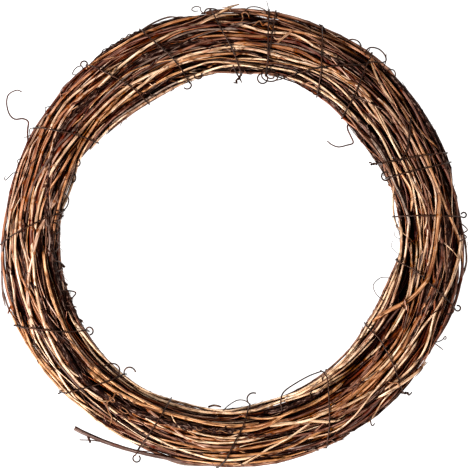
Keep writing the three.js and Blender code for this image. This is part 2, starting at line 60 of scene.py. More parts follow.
GRID = 720
"""Places round the ring at which a rod's route is kept."""
STATION = 20
"""Places from one of a solid's rings of vertices to its next."""
STATIONS = GRID // STATION
MIDDLE_OUT = 131.0
"""Radius in mm of the line through the middle of the bundle."""
MIDDLE_UP = 14.2
"""Height in mm of that line."""
PLACES_PER_MM = GRID / TURN / MIDDLE_OUT
FLOOR_GAP = 1.1
"""Least height in mm of a shoot's underside, above the floor."""
TOP_UP = 31.0
"""Height in mm above which the strands press each other down."""
TOP_GIVE = 0.3
"""Share that is left of what they would rise above it."""
TIP_SHARE = 0.45
"""Thickness of a shoot's tip, as a share of its thickness further on."""
TIP_PLACES = 6
"""Places from a shoot's tip to where it has all its thickness."""
ABSENT = -1e6
"""Half thickness of a rod at places where it isn't."""
OUTER_EDGE = 149.6
"""Radius in mm of the wreath's outer edge, which only some canes and twigs pass."""
HOLE_RADIUS = 113.0
HOLE_SHIFT = (-1.9, -1.7)
HOLE_BULGES = ((38, 4.5, 15), (117, 6, 16), (329, 8, 17))
"""Where the bundle stands into the hole: angle, depth in mm and half width in degrees."""


class Bark(Enum):
    """The coats that a cane can have, by the record's material slot."""

    PEELED = "peeled_vine"
    ORANGE = "orange_bark"
    BROWN = "brown_bark"
    GREY = "grey_bark"
    OLD = "old_bark"


WIRE_SLOT = "tie_wire"
SPAN = ("Value", "From Min", "From Max", "To Min", "To Max")
"""The inputs of a Map Range node, in the order in which spans are written below."""


def linear(code: str) -> tuple[float, float, float, float]:
    """Turns an sRGB hex colour into Blender's linear colour.

    Args:
        code: Six hex digits.

    Returns:
        Red, green, blue and an alpha of one.
    """
    values = [int(code[i : i + 2], 16) / 255 for i in (0, 2, 4)]
    out = [v / 12.92 if v <= 0.04045 else ((v + 0.055) / 1.055) ** 2.4 for v in values]
    return out[0], out[1], out[2], 1.0


def add_node(
    tree: bpy.types.NodeTree, kind: str, inputs: dict | None = None, **settings
) -> bpy.types.Node:
    """Adds a shader node.

    Args:
        tree: The material's node tree.
        kind: The node's type name.
        inputs: Values or sockets by input name or number.
        **settings: Values for the node's own properties.

    Returns:
        The node.
    """
    node = tree.nodes.new(kind)
    for name, value in settings.items():
        setattr(node, name, value)
    for socket, value in (inputs or {}).items():
        if isinstance(value, bpy.types.NodeSocket):
            tree.links.new(value, node.inputs[socket])
        else:
            node.inputs[socket].default_value = value
    return node


def set_ramp(node: bpy.types.Node, stops: list[tuple[float, str]]) -> None:
    """Sets a colour ramp's stops.

    Args:
        node: The ramp.
        stops: Places from 0 to 1 with their hex colours.
    """
    ramp = node.color_ramp
    while len(ramp.elements) < len(stops):
        ramp.elements.new(0.5)
    for element, (place, code) in zip(ramp.elements, stops):
        element.position = place
        element.color = linear(code)


def start_material(name: str) -> tuple[bpy.types.Material, bpy.types.NodeTree]:
    """Starts a material with no nodes.

    Args:
        name: The real finish that it shows.

    Returns:
        The material and its node tree.
    """
    material = bpy.data.materials.new(name)
    material.use_nodes = True
    material.node_tree.nodes.clear()
    return material, material.node_tree


@dataclass(frozen=True)
class BarkFinish:
    """Dried vine bark: thin fibres along the cane, darker between them, with patches peeled. Painted shade
    darkens it deep in the bundle, and a painted highlight lightens each strand's top.

    Attributes:
        bark: Its slot in the record.
        groove: Colour between the fibres.
        fibre: Colour of the fibres.
        crest: Colour of the few palest fibres, rubbed bare.
        patch: Colour of the coat in patches.
        patches: Share of the cane that the patches take.
        roughness: Of the fibres.
        relief_mm: Depth between fibres.
        ior: Of the coat, lower where it is rough and dusty.
        fibre_mm: Width and length of a bundle of fibres. Single ones are too fine to show.
        crest_from: From 0 to 1, how rare the palest fibres are.
    """

    bark: Bark
    groove: str
    fibre: str
    crest: str
    patch: str
    patches: float
    roughness: float
    relief_mm: float = 0.25
    ior: float = 1.36
    fibre_mm: tuple[float, float] = (0.7, 15.0)
    crest_from: float = 0.7

    PATCH_MM = (2.4, 13.0)
    GROOVE_TO, FIBRE_FROM = 0.36, 0.52
    """Where on the noise of the fibres the grooves end and the fibres start."""
    PATCH_FROM, PATCH_FALL, PATCH_SOFT = 0.72, 0.44, 0.06
    """Where on their noise patches start, how much lower if all is patches, and how softly."""
    PATCH_COVER = 0.75
    SHADES = {
        "tone": ("LINEAR", 0.0, 1.0, 0.66, 1.24),
        # depth: painted shade, darker the deeper a point lies under the bundle's skin, where the canes above
        # shade it
        "depth": ("LINEAR", 0.3, 5.0, 1.0, 0.15),
        "knot": ("LINEAR", 0.0, 1.0, 1.0, 0.55),
        # facing out and up: painted highlight along each strand's top and painted shade down its sides
        "painted_light_facing": ("SMOOTHSTEP", 0.2, 1.0, 0.09, 1.52),
    }
    # How each value on the mesh shades the coat: its span, then the lightness at its two ends. Tone and
    # knuckles are the bark's own colour; depth under the skin is painted shade, and facing out and up paints
    # a highlight on each strand's top and shade on its sides.
    """How each value on the mesh shades the coat: its span, then the lightness at its two ends."""
    HUE, SHADE_HUE, RICHNESS = (0.0, 1.0, 0.488, 0.512), (0.05, 0.9, -0.028, 0.002), (0.1, 1.0, 2.1, 0.95)
    """Hue by tone, and hue and saturation by lightness: shaded places are redder and richer."""
    ROUGHER, SMOOTHER = 0.15, 0.12
    BUMP = 0.8

    def build(self) -> bpy.types.Material:
        """Makes the material.

        Returns:
            The material, which reads the values that a StrandMesh has on its vertices.
        """
        material, tree = start_material(self.bark.value)
        grain = add_node(tree, "ShaderNodeAttribute", attribute_name="grain")
        streaks = []
        for (across, along), detail, roughness in (self.fibre_mm, 4.0, 0.62), (self.PATCH_MM, 3.0, 0.55):
            inputs = {"Vector": grain.outputs["Vector"], "Scale": (1 / across, 1 / across, 1 / along)}
            drawn = add_node(tree, "ShaderNodeMapping", inputs).outputs["Vector"]
            inputs = {"Vector": drawn, "Scale": 1.0, "Detail": detail, "Roughness": roughness}
            streaks.append(add_node(tree, "ShaderNodeTexNoise", inputs).outputs["Fac"])
        fibres, patches = streaks
        coat = add_node(tree, "ShaderNodeValToRGB", {"Fac": fibres})
        places = (self.GROOVE_TO, self.FIBRE_FROM, self.crest_from)
        set_ramp(coat, list(zip(places, (self.groove, self.fibre, self.crest))))
        edge = self.PATCH_FROM - self.PATCH_FALL * self.patches
        span = (patches, edge, edge + self.PATCH_SOFT, 0.0, self.PATCH_COVER)
        bare = add_node(tree, "ShaderNodeMapRange", dict(zip(SPAN, span))).outputs["Result"]
        inputs = {"Factor": bare, "A": coat.outputs["Color"], "B": linear(self.patch)}
        patched = add_node(tree, "ShaderNodeMix", inputs, data_type="RGBA").outputs["Result"]
        sources = {
            name: add_node(tree, "ShaderNodeAttribute", attribute_name=name).outputs["Fac"]
            for name in self.SHADES
        }
        # Lightness: the bark's own tone and dark knuckles, times painted shade from depth and a painted
        # highlight from facing
        value = None
        for name, (kind, *span) in self.SHADES.items():
            inputs = dict(zip(SPAN, (sources[name], *span)))
            share = add_node(tree, "ShaderNodeMapRange", inputs, interpolation_type=kind).outputs["Result"]
            if value is not None:
                both = {0: value, 1: share}
                share = add_node(tree, "ShaderNodeMath", both, operation="MULTIPLY").outputs[0]
            value = share
        hue, redder, richness, rough = (
            add_node(tree, "ShaderNodeMapRange", dict(zip(SPAN, (source, *span)))).outputs["Result"]
            for source, span in (
                (sources["tone"], self.HUE),
                (value, self.SHADE_HUE),
                (value, self.RICHNESS),
                (fibres, (0.0, 1.0, self.roughness + self.ROUGHER, self.roughness - self.SMOOTHER)),
            )
        )
        hue = add_node(tree, "ShaderNodeMath", {0: hue, 1: redder}, operation="ADD").outputs[0]
        inputs = {"Hue": hue, "Saturation": richness, "Value": value, "Color": patched}
        toned = add_node(tree, "ShaderNodeHueSaturation", inputs).outputs["Color"]
        inputs = {"Strength": self.BUMP, "Distance": self.relief_mm * MM, "Height": fibres}
        normal = add_node(tree, "ShaderNodeBump", inputs).outputs["Normal"]
        inputs = {"Base Color": toned, "Roughness": rough, "Normal": normal, "IOR": self.ior}
        shader = add_node(tree, "ShaderNodeBsdfPrincipled", inputs)
        add_node(tree, "ShaderNodeOutputMaterial", {"Surface": shader.outputs["BSDF"]})
        return material


@dataclass(frozen=True)
class GrainFinish:
    """A finish of two colours that pass into each other in small grains.

    Attributes:
        name: Of the material.
        dark: The colour of one kind of grain.
        light: The colour of the other.
        stops: Where on the noise the dark grains end and the light ones start.
        grain_mm: Size of a grain.
        detail: Octaves of the noise.
        roughness: Of the surface.
        metallic: From 0 to 1, how much of it is bare metal.
    """

    name: str
    dark: str
    light: str
    stops: tuple[float, float]
    grain_mm: float
    detail: float
    roughness: float
    metallic: float = 0.0

    def build(self) -> bpy.types.Material:
        """Makes the material.

        Returns:
            The material.
        """
        material, tree = start_material(self.name)
        place = add_node(tree, "ShaderNodeTexCoord").outputs["Object"]
        inputs = {"Vector": place, "Scale": 1 / (self.grain_mm * MM), "Detail": self.detail}
        noise = add_node(tree, "ShaderNodeTexNoise", inputs)
        ramp = add_node(tree, "ShaderNodeValToRGB", {"Fac": noise.outputs["Fac"]})
        set_ramp(ramp, list(zip(self.stops, (self.dark, self.light))))
        inputs = {"Base Color": ramp.outputs["Color"], "Roughness": self.roughness, "Metallic": self.metallic}
        shader = add_node(tree, "ShaderNodeBsdfPrincipled", inputs)
        add_node(tree, "ShaderNodeOutputMaterial", {"Surface": shader.outputs["BSDF"]})
        return material


BARKS = (
    # Vine with its bark peeled off: smooth pale wood that glints, with shreds of brown left on it.
    BarkFinish(Bark.PEELED, "5E3826", "BE9275", "F0D8C4", "96604A", 0.34, 0.36),
    # Young bark: warm orange-brown and close-grained, with a low shine.
    BarkFinish(Bark.ORANGE, "401A0E", "A36642", "DCAE8E", "6C3118", 0.3, 0.38),
    # Year-old bark: red-brown fibres, dusty and nearly matt.
    BarkFinish(Bark.BROWN, "260E08", "724636", "B68C78", "925E48", 0.3, 0.4, ior=1.28),
    # Weathered bark: faded grey-brown, dusty and nearly matt.
    BarkFinish(Bark.GREY, "2A1C18", "72594E", "B09A90", "7C5446", 0.28, 0.44, ior=1.28),
    # Old bark: nearly black, rough and deeply torn, with few pale fibres.
    BarkFinish(Bark.OLD, "100401", "34190F", "A08474", "220E07", 0.35, 0.6, 0.5, 1.2, (0.9, 4.5), 0.68),
)
# Sawn end grain of a dry vine: pale wood with brown pores, matt.
CUT_WOOD = GrainFinish("cut_vine_end", "6B4529", "B98F63", (0.4, 0.6), 0.35, 2.0, 0.85)
# Annealed iron craft wire: a dull brown-black skin that glints a little.
WIRE = GrainFinish("annealed_wire", "2C1C15", "583420", (0.4, 0.65), 3.0, 3.0, 0.45, 0.35)


def middle_out(place: np.ndarray) -> np.ndarray:
    """Gives the bundle's middle radius in mm at places of the grid."""
    angle = np.asarray(place) * (TURN / GRID)
    return MIDDLE_OUT + (HOLE_SHIFT[0] * np.cos(angle) + HOLE_SHIFT[1] * np.sin(angle)) / 2


def hole_edge(place: np.ndarray) -> np.ndarray:
    """Says where the hole's edge is.

    Args:
        place: Where round the ring, in steps of the grid.

    Returns:
        Its radius in mm at each place.
    """
    angle = np.asarray(place) * (TURN / GRID)
    edge = HOLE_RADIUS + HOLE_SHIFT[0] * np.cos(angle) + HOLE_SHIFT[1] * np.sin(angle)
    for at, depth, width in HOLE_BULGES:
        away = np.angle(np.exp(1j * (angle - math.radians(at))))
        edge = edge - depth * np.exp(-((away / math.radians(width)) ** 2))
    return edge


def ring_point(place: np.ndarray, out: np.ndarray, up: np.ndarray) -> np.ndarray:
    """Gives points in space.

    Args:
        place: Where round the ring, in steps of the grid.
        out: Distance from the axis in mm.
        up: Height in mm.

    Returns:
        One row of x, y and z for each.
    """
    angle = np.asarray(place, float) * (TURN / GRID)
    return np.stack([out * np.cos(angle), out * np.sin(angle), up + 0 * angle], axis=-1)


def place_of(x: float, y: float) -> float:
    """Gives the place on the grid of a point seen from above."""
    return (math.atan2(y, x) / TURN * GRID) % GRID


def on_grid(degrees: np.ndarray | float) -> np.ndarray | float:
    """Gives the places on the grid of angles in degrees round the ring."""
    return degrees * GRID / 360


def route_points(route: np.ndarray) -> np.ndarray:
    """Gives the points of rows of angle in degrees, distance from the axis and height in mm."""
    angle, out, up = np.array(route, float).T
    return ring_point(on_grid(angle), out, up)


def read_routes(text: str) -> list[tuple[list[float], np.ndarray]]:
    """Reads routes, each written as some numbers, a colon, and its points with commas between.

    Args:
        text: One route on each line. A line that ends in a comma goes on in the next.

    Returns:
        For each route its numbers, and a row for each of its points.
    """
    routes = []
    for line in text.replace(",\n", ",").strip().splitlines():
        head, _, route = line.partition(":")
        points = np.array([[float(v) for v in point.split()] for point in route.split(",")])
        routes.append(([float(v) for v in head.split()], points))
    return routes


def spans(points: np.ndarray) -> list[tuple[np.ndarray, ...]]:
    """Gives every two neighbouring points, with the one before them and the one after."""
    padded = np.vstack([2 * points[0] - points[1], points, 2 * points[-1] - points[-2]])
    return list(zip(padded, padded[1:], padded[2:], padded[3:]))


def bend(span: tuple[np.ndarray, ...], share: np.ndarray) -> np.ndarray:
    """Bends a smooth curve from the second of four points to the third.

    Args:
        span: The four points.
        share: From 0 to 1, how far along the curve each of its wanted points is.

    Returns:
        A row for each wanted point.
    """
    a, b, c, d = span
    t = share[:, None]
    return 0.5 * (2 * b + (c - a) * t + (2 * a - 5 * b + 4 * c - d) * t**2 + (3 * b - a - 3 * c + d) * t**3)


def smooth_line(points: np.ndarray, spacing: float) -> np.ndarray:
    """Runs a smooth line through points.

    Args:
        points: Rows of x, y and z.
        spacing: About how far apart the line's points are to be.

    Returns:
        Rows of x, y and z.
    """
    points = np.asarray(points, float)
    pieces = []
    for span in spans(points):
        count = max(2, int(math.ceil(np.linalg.norm(span[2] - span[1]) / spacing)))
        pieces.append(bend(span, np.linspace(0, 1, count, endpoint=False)))
    return np.vstack([*pieces, points[-1:]])


def blur(values: np.ndarray, reach: float) -> np.ndarray:
    """Evens out a row of values.

    Args:
        values: The values.
        reach: Half width of the bell that evens them out, in values.

    Returns:
        As many values.
    """
    half = max(1, int(2.5 * reach))
    bell = np.exp(-0.5 * (np.arange(-half, half + 1) / max(reach, 1e-6)) ** 2)
    padded = np.pad(values, half, mode="edge")
    return np.convolve(padded, bell / bell.sum(), mode="valid")


def drift(rng: np.random.Generator, count: int, wave: float, size: float) -> np.ndarray:
    """Makes a row of values that wander.

    Args:
        rng: The seeded generator.
        count: How many values.
        wave: About how many values one swing takes.
        size: How far they go either way.

    Returns:
        The values.
    """
    knots = rng.uniform(-1, 1, int(count / wave) + 4)
    return size * blur(np.interp(np.arange(count) / wave, np.arange(len(knots)), knots), wave / 3)


def widest(values: np.ndarray, reach: int) -> np.ndarray:
    """Gives the greatest of the values within a reach to either side of each."""
    padded = np.pad(values, reach, mode="edge")
    return np.max([padded[i : i + len(values)] for i in range(2 * reach + 1)], axis=0)


def eased(share: np.ndarray) -> np.ndarray:
    """Turns shares from 0 to 1 into ones that start and stop gently."""
    share = np.clip(share, 0, 1)
    return share * share * (3 - 2 * share)


def pressed(up: np.ndarray) -> np.ndarray:
    """Presses heights in mm down to near the top of the bundle."""
    return np.where(up > TOP_UP, TOP_UP + TOP_GIVE * (up - TOP_UP), up)


def slimmed(count: int) -> np.ndarray:
    """Gives the share of its thickness that a shoot has at each of its places."""
    to_end = np.minimum(np.arange(count), np.arange(count)[::-1])
    return TIP_SHARE + (1 - TIP_SHARE) * eased(to_end / TIP_PLACES)


def spread_knuckles(
    rng: np.random.Generator, count: int, start: tuple[float, float], gap: tuple[float, float]
) -> list[float]:
    """Draws where a shoot has its knuckles.

    Args:
        rng: The seeded generator.
        count: How many places the shoot takes.
        start: The least and the most places before its first knuckle. After its last there are
            at least as many as the least.
        gap: The least and the most places from each knuckle to the next.

    Returns:
        How many places after the shoot's first each knuckle is.
    """
    knuckles, at = [], rng.uniform(*start)
    while at < count - start[0]:
        knuckles.append(at)
        at += rng.uniform(*gap)
    return knuckles


@dataclass
class Rod:
    """A cane or shoot as its route round the ring.

    Attributes:
        first: The place on the grid at which it starts.
        out: Distance from the axis in mm at each place.
        up: Height in mm at each place.
        radius: Half thickness in mm at each place.
        knuckles: How many places after the first each of its knuckles is.
    """

    first: int
    out: np.ndarray
    up: np.ndarray
    radius: np.ndarray
    knuckles: list[float]

    def line(self, along: np.ndarray) -> tuple[np.ndarray, np.ndarray]:
        """Gives points of its middle line.

        Args:
            along: How many places after the first each wanted point is.

        Returns:
            The points in mm, and its half thickness at each.
        """
        index = np.arange(len(self.out))
        out, up, radius = (np.interp(along, index, v) for v in (self.out, self.up, self.radius))
        return ring_point(self.first + along, out, up), radius

    def outwards(self, along: np.ndarray) -> np.ndarray:
        """Gives the ways from the bundle's middle line to it at numbers of places after the first."""
        place = self.first + along
        return self.line(along)[0] - ring_point(place, middle_out(place), MIDDLE_UP)


class Bundle:
    """All the rods that lie in the wreath, and how far their skin reaches."""

    MOST = 480
    NOWHERE = -50.0
    """Distance in mm that stands for nothing in the way."""

    def __init__(self) -> None:
        """Starts an empty bundle."""
        self.count = 0
        self.over = np.zeros(self.MOST, bool)
        self.x = np.zeros((self.MOST, GRID))
        self.z = np.zeros((self.MOST, GRID))
        self.radius = np.full((self.MOST, GRID), ABSENT)
        self.middle = middle_out(np.arange(GRID))

    def add(self, rod: Rod, over: bool = False) -> None:
        """Adds a rod.

        Args:
            rod: The rod.
            over: Whether what is laid later goes under it.
        """
        self.over[self.count] = over
        place = (rod.first + np.arange(len(rod.out))) % GRID
        self.x[self.count, place] = rod.out - self.middle[place]
        self.z[self.count, place] = rod.up - MIDDLE_UP
        self.radius[self.count, place] = rod.radius
        self.count += 1

    def _at(self, place: np.ndarray) -> tuple[np.ndarray, np.ndarray, np.ndarray]:
        """Gives each rod's offsets and half thickness at places of the grid."""
        index = np.rint(place).astype(int) % GRID
        return tuple(v[: self.count, index] for v in (self.x, self.z, self.radius))

    def reach(self, place: np.ndarray, facing: np.ndarray, radius: float) -> np.ndarray:
        """Says how far from the middle a strand lies that touches the bundle from outside.

        Args:
            place: Where round the ring.
            facing: Direction in the section in radians, 0 outwards and a quarter turn up.
            radius: The strand's half thickness in mm.

        Returns:
            Distances in mm, with a negative number where nothing is in the way.
        """
        x, z, size = self._at(place)
        along = x * np.cos(facing) + z * np.sin(facing)
        across = z * np.cos(facing) - x * np.sin(facing)
        room = (size + radius) ** 2 - across**2
        hit = (np.abs(across) < size + radius) & (size > 0) & ~self.over[: self.count, None]
        far = along + np.sqrt(np.maximum(room, 0))
        return np.where(hit, far, self.NOWHERE).max(axis=0)

    def support(
        self, place: np.ndarray, facing: np.ndarray, rank: int = 1, over: bool = True
    ) -> np.ndarray:
        """Says how far the bundle reaches in a direction, as a straight edge laid on it would.

        Args:
            place: Where round the ring.
            facing: Direction in the section in radians.
            rank: Which rod counts, from the one that reaches furthest.
            over: Whether rods that others go under count too.

        Returns:
            Distances in mm.
        """
        x, z, size = self._at(place)
        edge = x * np.cos(facing) + z * np.sin(facing) + size
        if not over:
            edge[self.over[: self.count]] = ABSENT
        return np.sort(edge, axis=0)[-rank]

    def rest(self, place: np.ndarray, out: np.ndarray, radius: float) -> np.ndarray:
        """Says at what height a strand's middle lies that rests on the bundle from above.

        Args:
            place: Where round the ring.
            out: Distance from the axis in mm.
            radius: The strand's half thickness in mm.

        Returns:
            Heights in mm, and the middle line's where there is nothing below.
        """
        x, z, size = self._at(place)
        across = np.abs(x - (out - middle_out(place)))
        room = size + radius
        height = z + np.sqrt(np.maximum(room**2 - across**2, 0))
        hit = (across < room) & (size > 0) & ~self.over[: self.count, None]
        return MIDDLE_UP + np.where(hit, height, 0.0).max(axis=0)


@dataclass
class Layer:
    """What is laid in the wreath or on it.

    Attributes:
        rng: The seeded generator.
        bundle: All that lies in the wreath so far.
    """

    rng: np.random.Generator
    bundle: Bundle


class SkinDepth:
    """Says how deep a point lies under the skin of the finished bundle, from which the bark's painted shade
    is made.
    """

    DIRECTIONS = 24
    RANK = 3
    """The skin is where the third rod reaches, so a rod that stands clear doesn't move it."""

    def __init__(self, bundle: Bundle) -> None:
        """Measures the skin in all directions.

        Args:
            bundle: The finished bundle.
        """
        self.facing = np.arange(self.DIRECTIONS) * TURN / self.DIRECTIONS
        place = np.arange(GRID)
        self.skin = np.stack([bundle.support(place, f, self.RANK, False) for f in self.facing])

    def at(self, points: np.ndarray) -> np.ndarray:
        """Measures how deep points lie.

        Args:
            points: Rows of x, y and z in mm.

        Returns:
            Their depths in mm.
        """
        place = np.arctan2(points[:, 1], points[:, 0]) / TURN * GRID
        index = np.rint(place).astype(int) % GRID
        x = np.hypot(points[:, 0], points[:, 1]) - middle_out(place)
        z = points[:, 2] - MIDDLE_UP
        under = [
            skin[index] - (x * math.cos(f) + z * math.sin(f)) for f, skin in zip(self.facing, self.skin)
        ]
        return np.maximum(np.min(under, axis=0), 0)


@dataclass
class Strand:
    """One strand that is to be rolled up.

    Attributes:
        middle: Its middle line in mm.
        radius: Its half thickness at each point.
        tone: From 0 to 1, how light it is for its finish.
        sides: Faces round it.
        facing: The direction that its first side has at each point, if that matters.
        flat: Its thickness over its width.
        ridge: Depth of its ridges, as a share of its thickness.
        knot: From 0 to 1 at each point, how far into a knuckle it is.
        bud: The side of a knuckle that its bud is on, in radians.
        cut: Whether its ends show cut wood.
        coat: Which of the piece's materials it has.
    """

    middle: np.ndarray
    radius: np.ndarray
    tone: float = 0.5
    sides: int = 6
    facing: np.ndarray | None = None
    flat: float = 1.0
    ridge: float = 0.0
    knot: np.ndarray | None = None
    bud: np.ndarray | None = None
    cut: bool = False
    coat: int = 0

    RIDGES = ((2, 0.021), (3, -0.034), (4, 0.012))
    """How many there are round it, and how far they turn in radians for each mm, by kind."""
    LUMPS, LUMP_PACES = 0.6, (0.61, 0.23)
    """Their depth as a share of the ridges', and how they follow each other in radians for each mm."""
    BUD_WIDTH = 0.55
    BUD_RISE, KNOT_RISE = 0.55, 0.2
    """How far a bud and a knuckle stand out, as shares of the strand's half thickness."""
    GRAIN_SHIFT = 37
    """How far apart in mm the grain of strands is cut, for each radian between their phases."""
    BARE = 0.62
    # How far a strand that stands free counts as facing out, for its painted highlight and shade.
    """How far a strand that stands free counts as facing out."""
    UPWARD = 0.94
    # How much facing up counts against facing out of the bundle, for the painted highlight and shade.
    """How much facing up counts against facing out of the bundle."""

    def frames(self) -> tuple[np.ndarray, np.ndarray]:
        """Finds the directions of its first two sides.

        Returns:
            Two directions at each point, square to the strand and to each other.
        """
        ahead = np.gradient(self.middle, axis=0)
        ahead /= np.linalg.norm(ahead, axis=1)[:, None]
        if self.facing is not None:
            first = self.facing - (self.facing * ahead).sum(axis=1)[:, None] * ahead
            first /= np.linalg.norm(first, axis=1)[:, None]
        else:
            first = np.zeros_like(ahead)
            guide = np.array([0.0, 0.0, 1.0]) if abs(ahead[0][2]) < 0.8 else np.array([1.0, 0.0, 0.0])
            for i, way in enumerate(ahead):
                guide = guide - guide.dot(way) * way
                guide /= np.linalg.norm(guide)
                first[i] = guide
        return first, np.cross(ahead, first)

    def surface(self, phase: float) -> tuple[np.ndarray, np.ndarray, np.ndarray]:
        """Works out its skin.

        Args:
            phase: Where its ridges start.

        Returns:
            The skin's points, each one's place in the straightened strand in mm, and how far it
            faces out of the bundle, from -1 to 1, which the bark turns into a painted highlight on
            its top and painted shade on its sides. All are by row along it, then by spoke round
            it, with the first spoke again at the end.
        """
        spoke = np.linspace(0, TURN, self.sides + 1)[None, :]
        first, second = self.frames()
        steps = np.linalg.norm(np.diff(self.middle, axis=0), axis=1)
        length = np.concatenate([[0], np.cumsum(steps)])[:, None]
        swell = np.ones((len(self.middle), self.sides + 1))
        if self.ridge:
            for waves, pace in self.RIDGES:
                swell += self.ridge * np.sin(waves * spoke + pace * length + phase * waves) / 2
            along, around = (length * pace for pace in self.LUMP_PACES)
            swell += self.ridge * self.LUMPS * np.sin(along + phase) * np.sin(around + spoke)
        if self.knot is not None:
            swell += self.KNOT_RISE * self.knot[:, None]
            turned = np.angle(np.exp(1j * (spoke - self.bud[:, None])))
            swell += self.BUD_RISE * self.knot[:, None] ** 2 * np.exp(-((turned / self.BUD_WIDTH) ** 2))
        radius = self.radius[:, None] * swell
        high, wide = radius * np.cos(spoke) * self.flat, radius * np.sin(spoke)
        points = self.middle[:, None] + high[..., None] * first[:, None] + wide[..., None] * second[:, None]
        place = np.stack([high, wide, length + self.GRAIN_SHIFT * phase + 0 * wide], axis=-1)
        if self.facing is None:
            return points, place, np.full(high.shape, self.BARE)
        # How far each point faces out and up, made into a painted highlight and painted shade
        upward = np.cos(spoke) * first[:, 2:] + np.sin(spoke) * second[:, 2:]
        return points, place, np.maximum(np.cos(spoke) + 0 * high, self.UPWARD * upward)


class StrandMesh:
    """Rolls strands up into one piece, whose vertices hold the values that shade the bark, among them how
    deep each point lies and how far it faces out, from which painted shade and a painted highlight are made.
    """

    SHARP = 75
    """Degrees between faces that show as an edge, more than a strand of five sides has."""
    SAME = 1e-8

    def __init__(self, name: str, skin: SkinDepth | None) -> None:
        """Starts a piece.

        Args:
            name: The piece's name.
            skin: Says how deep each point lies, or None if that doesn't matter.
        """
        self.name = name
        self.skin = skin
        self.bm = bmesh.new()
        self.grain = self.bm.verts.layers.float_vector.new("grain")
        self.tone = self.bm.verts.layers.float.new("tone")
        self.depth = self.bm.verts.layers.float.new("depth")
        self.knot = self.bm.verts.layers.float.new("knot")
        self.painted_light_facing = self.bm.verts.layers.float.new("painted_light_facing")

    def add(self, strand: Strand, phase: float) -> None:
        """Rolls one strand up from a grid.

        Args:
            strand: The strand.
            phase: A number of its own for each strand, from 0 to a whole turn.
        """
        rows, sides = len(strand.middle), strand.sides
        points, place, painted_light_facing = strand.surface(phase)
        flat_points = points.reshape(-1, 3)
        # How deep each point lies, which the bark darkens as painted shade
        depth = self.skin.at(flat_points) if self.skin else np.zeros(len(flat_points))
        co, grain = (flat_points * MM).tolist(), place.reshape(-1, 3).tolist()
        depth, painted_light_facing = depth.tolist(), painted_light_facing.ravel().tolist()
        knot = strand.knot if strand.knot is not None else np.zeros(rows)
        made = bmesh.ops.create_grid(self.bm, x_segments=sides, y_segments=rows - 1, size=1.0)["verts"]
        for vert in made:
            column = round((vert.co.x + 1) / 2 * sides)
            row = round((vert.co.y + 1) / 2 * (rows - 1))
            index = row * (sides + 1) + column
            vert.co = co[index]
            vert[self.grain] = grain[index]
            vert[self.tone] = strand.tone
            vert[self.depth] = depth[index]
            vert[self.painted_light_facing] = painted_light_facing[index]
            vert[self.knot] = knot[row]
        bmesh.ops.remove_doubles(self.bm, verts=made, dist=self.SAME)
        made = [v for v in made if v.is_valid]
        if strand.coat:
            for face in {f for v in made for f in v.link_faces}:
                face.material_index = strand.coat
        rims = {e for v in made for e in v.link_edges if e.is_boundary}
        caps = bmesh.ops.holes_fill(self.bm, edges=list(rims), sides=0)["faces"]
        for cap in caps:
            cap.material_index = 1 if strand.cut else strand.coat

    def finish(self, materials: list[bpy.types.Material], slot: str) -> bpy.types.Object:
        """Turns what was rolled into an object that rides on the wreath.

        Args:
            materials: The piece's finishes, with the one that its cut ends have second.
            slot: Its material slot in the record. Not used.

        Returns:
            The piece.
        """
        bmesh.ops.recalc_face_normals(self.bm, faces=self.bm.faces)
        mesh = bpy.data.meshes.new(self.name)
        self.bm.to_mesh(mesh)
        self.bm.free()
        for material in materials:
            mesh.materials.append(material)
        mesh.shade_smooth()
        mesh.set_sharp_from_angle(angle=math.radians(self.SHARP))
        piece = bpy.data.objects.new(self.name, mesh)
        bpy.context.scene.collection.objects.link(piece)
        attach(piece, "root")
        LOG.info("%s: %d faces", self.name, len(mesh.polygons))
        return piece


@dataclass
class Dressing:
    """What the pieces are dressed with.

    Attributes:
        barks: The finish of each coat.
        cut: The finish of cut ends.
        wire: The finish of the wire.
        skin: Says how deep each point lies, for the painted shade.
    """

    barks: dict[Bark, bpy.types.Material]
    cut: bpy.types.Material
    wire: bpy.types.Material
    skin: SkinDepth


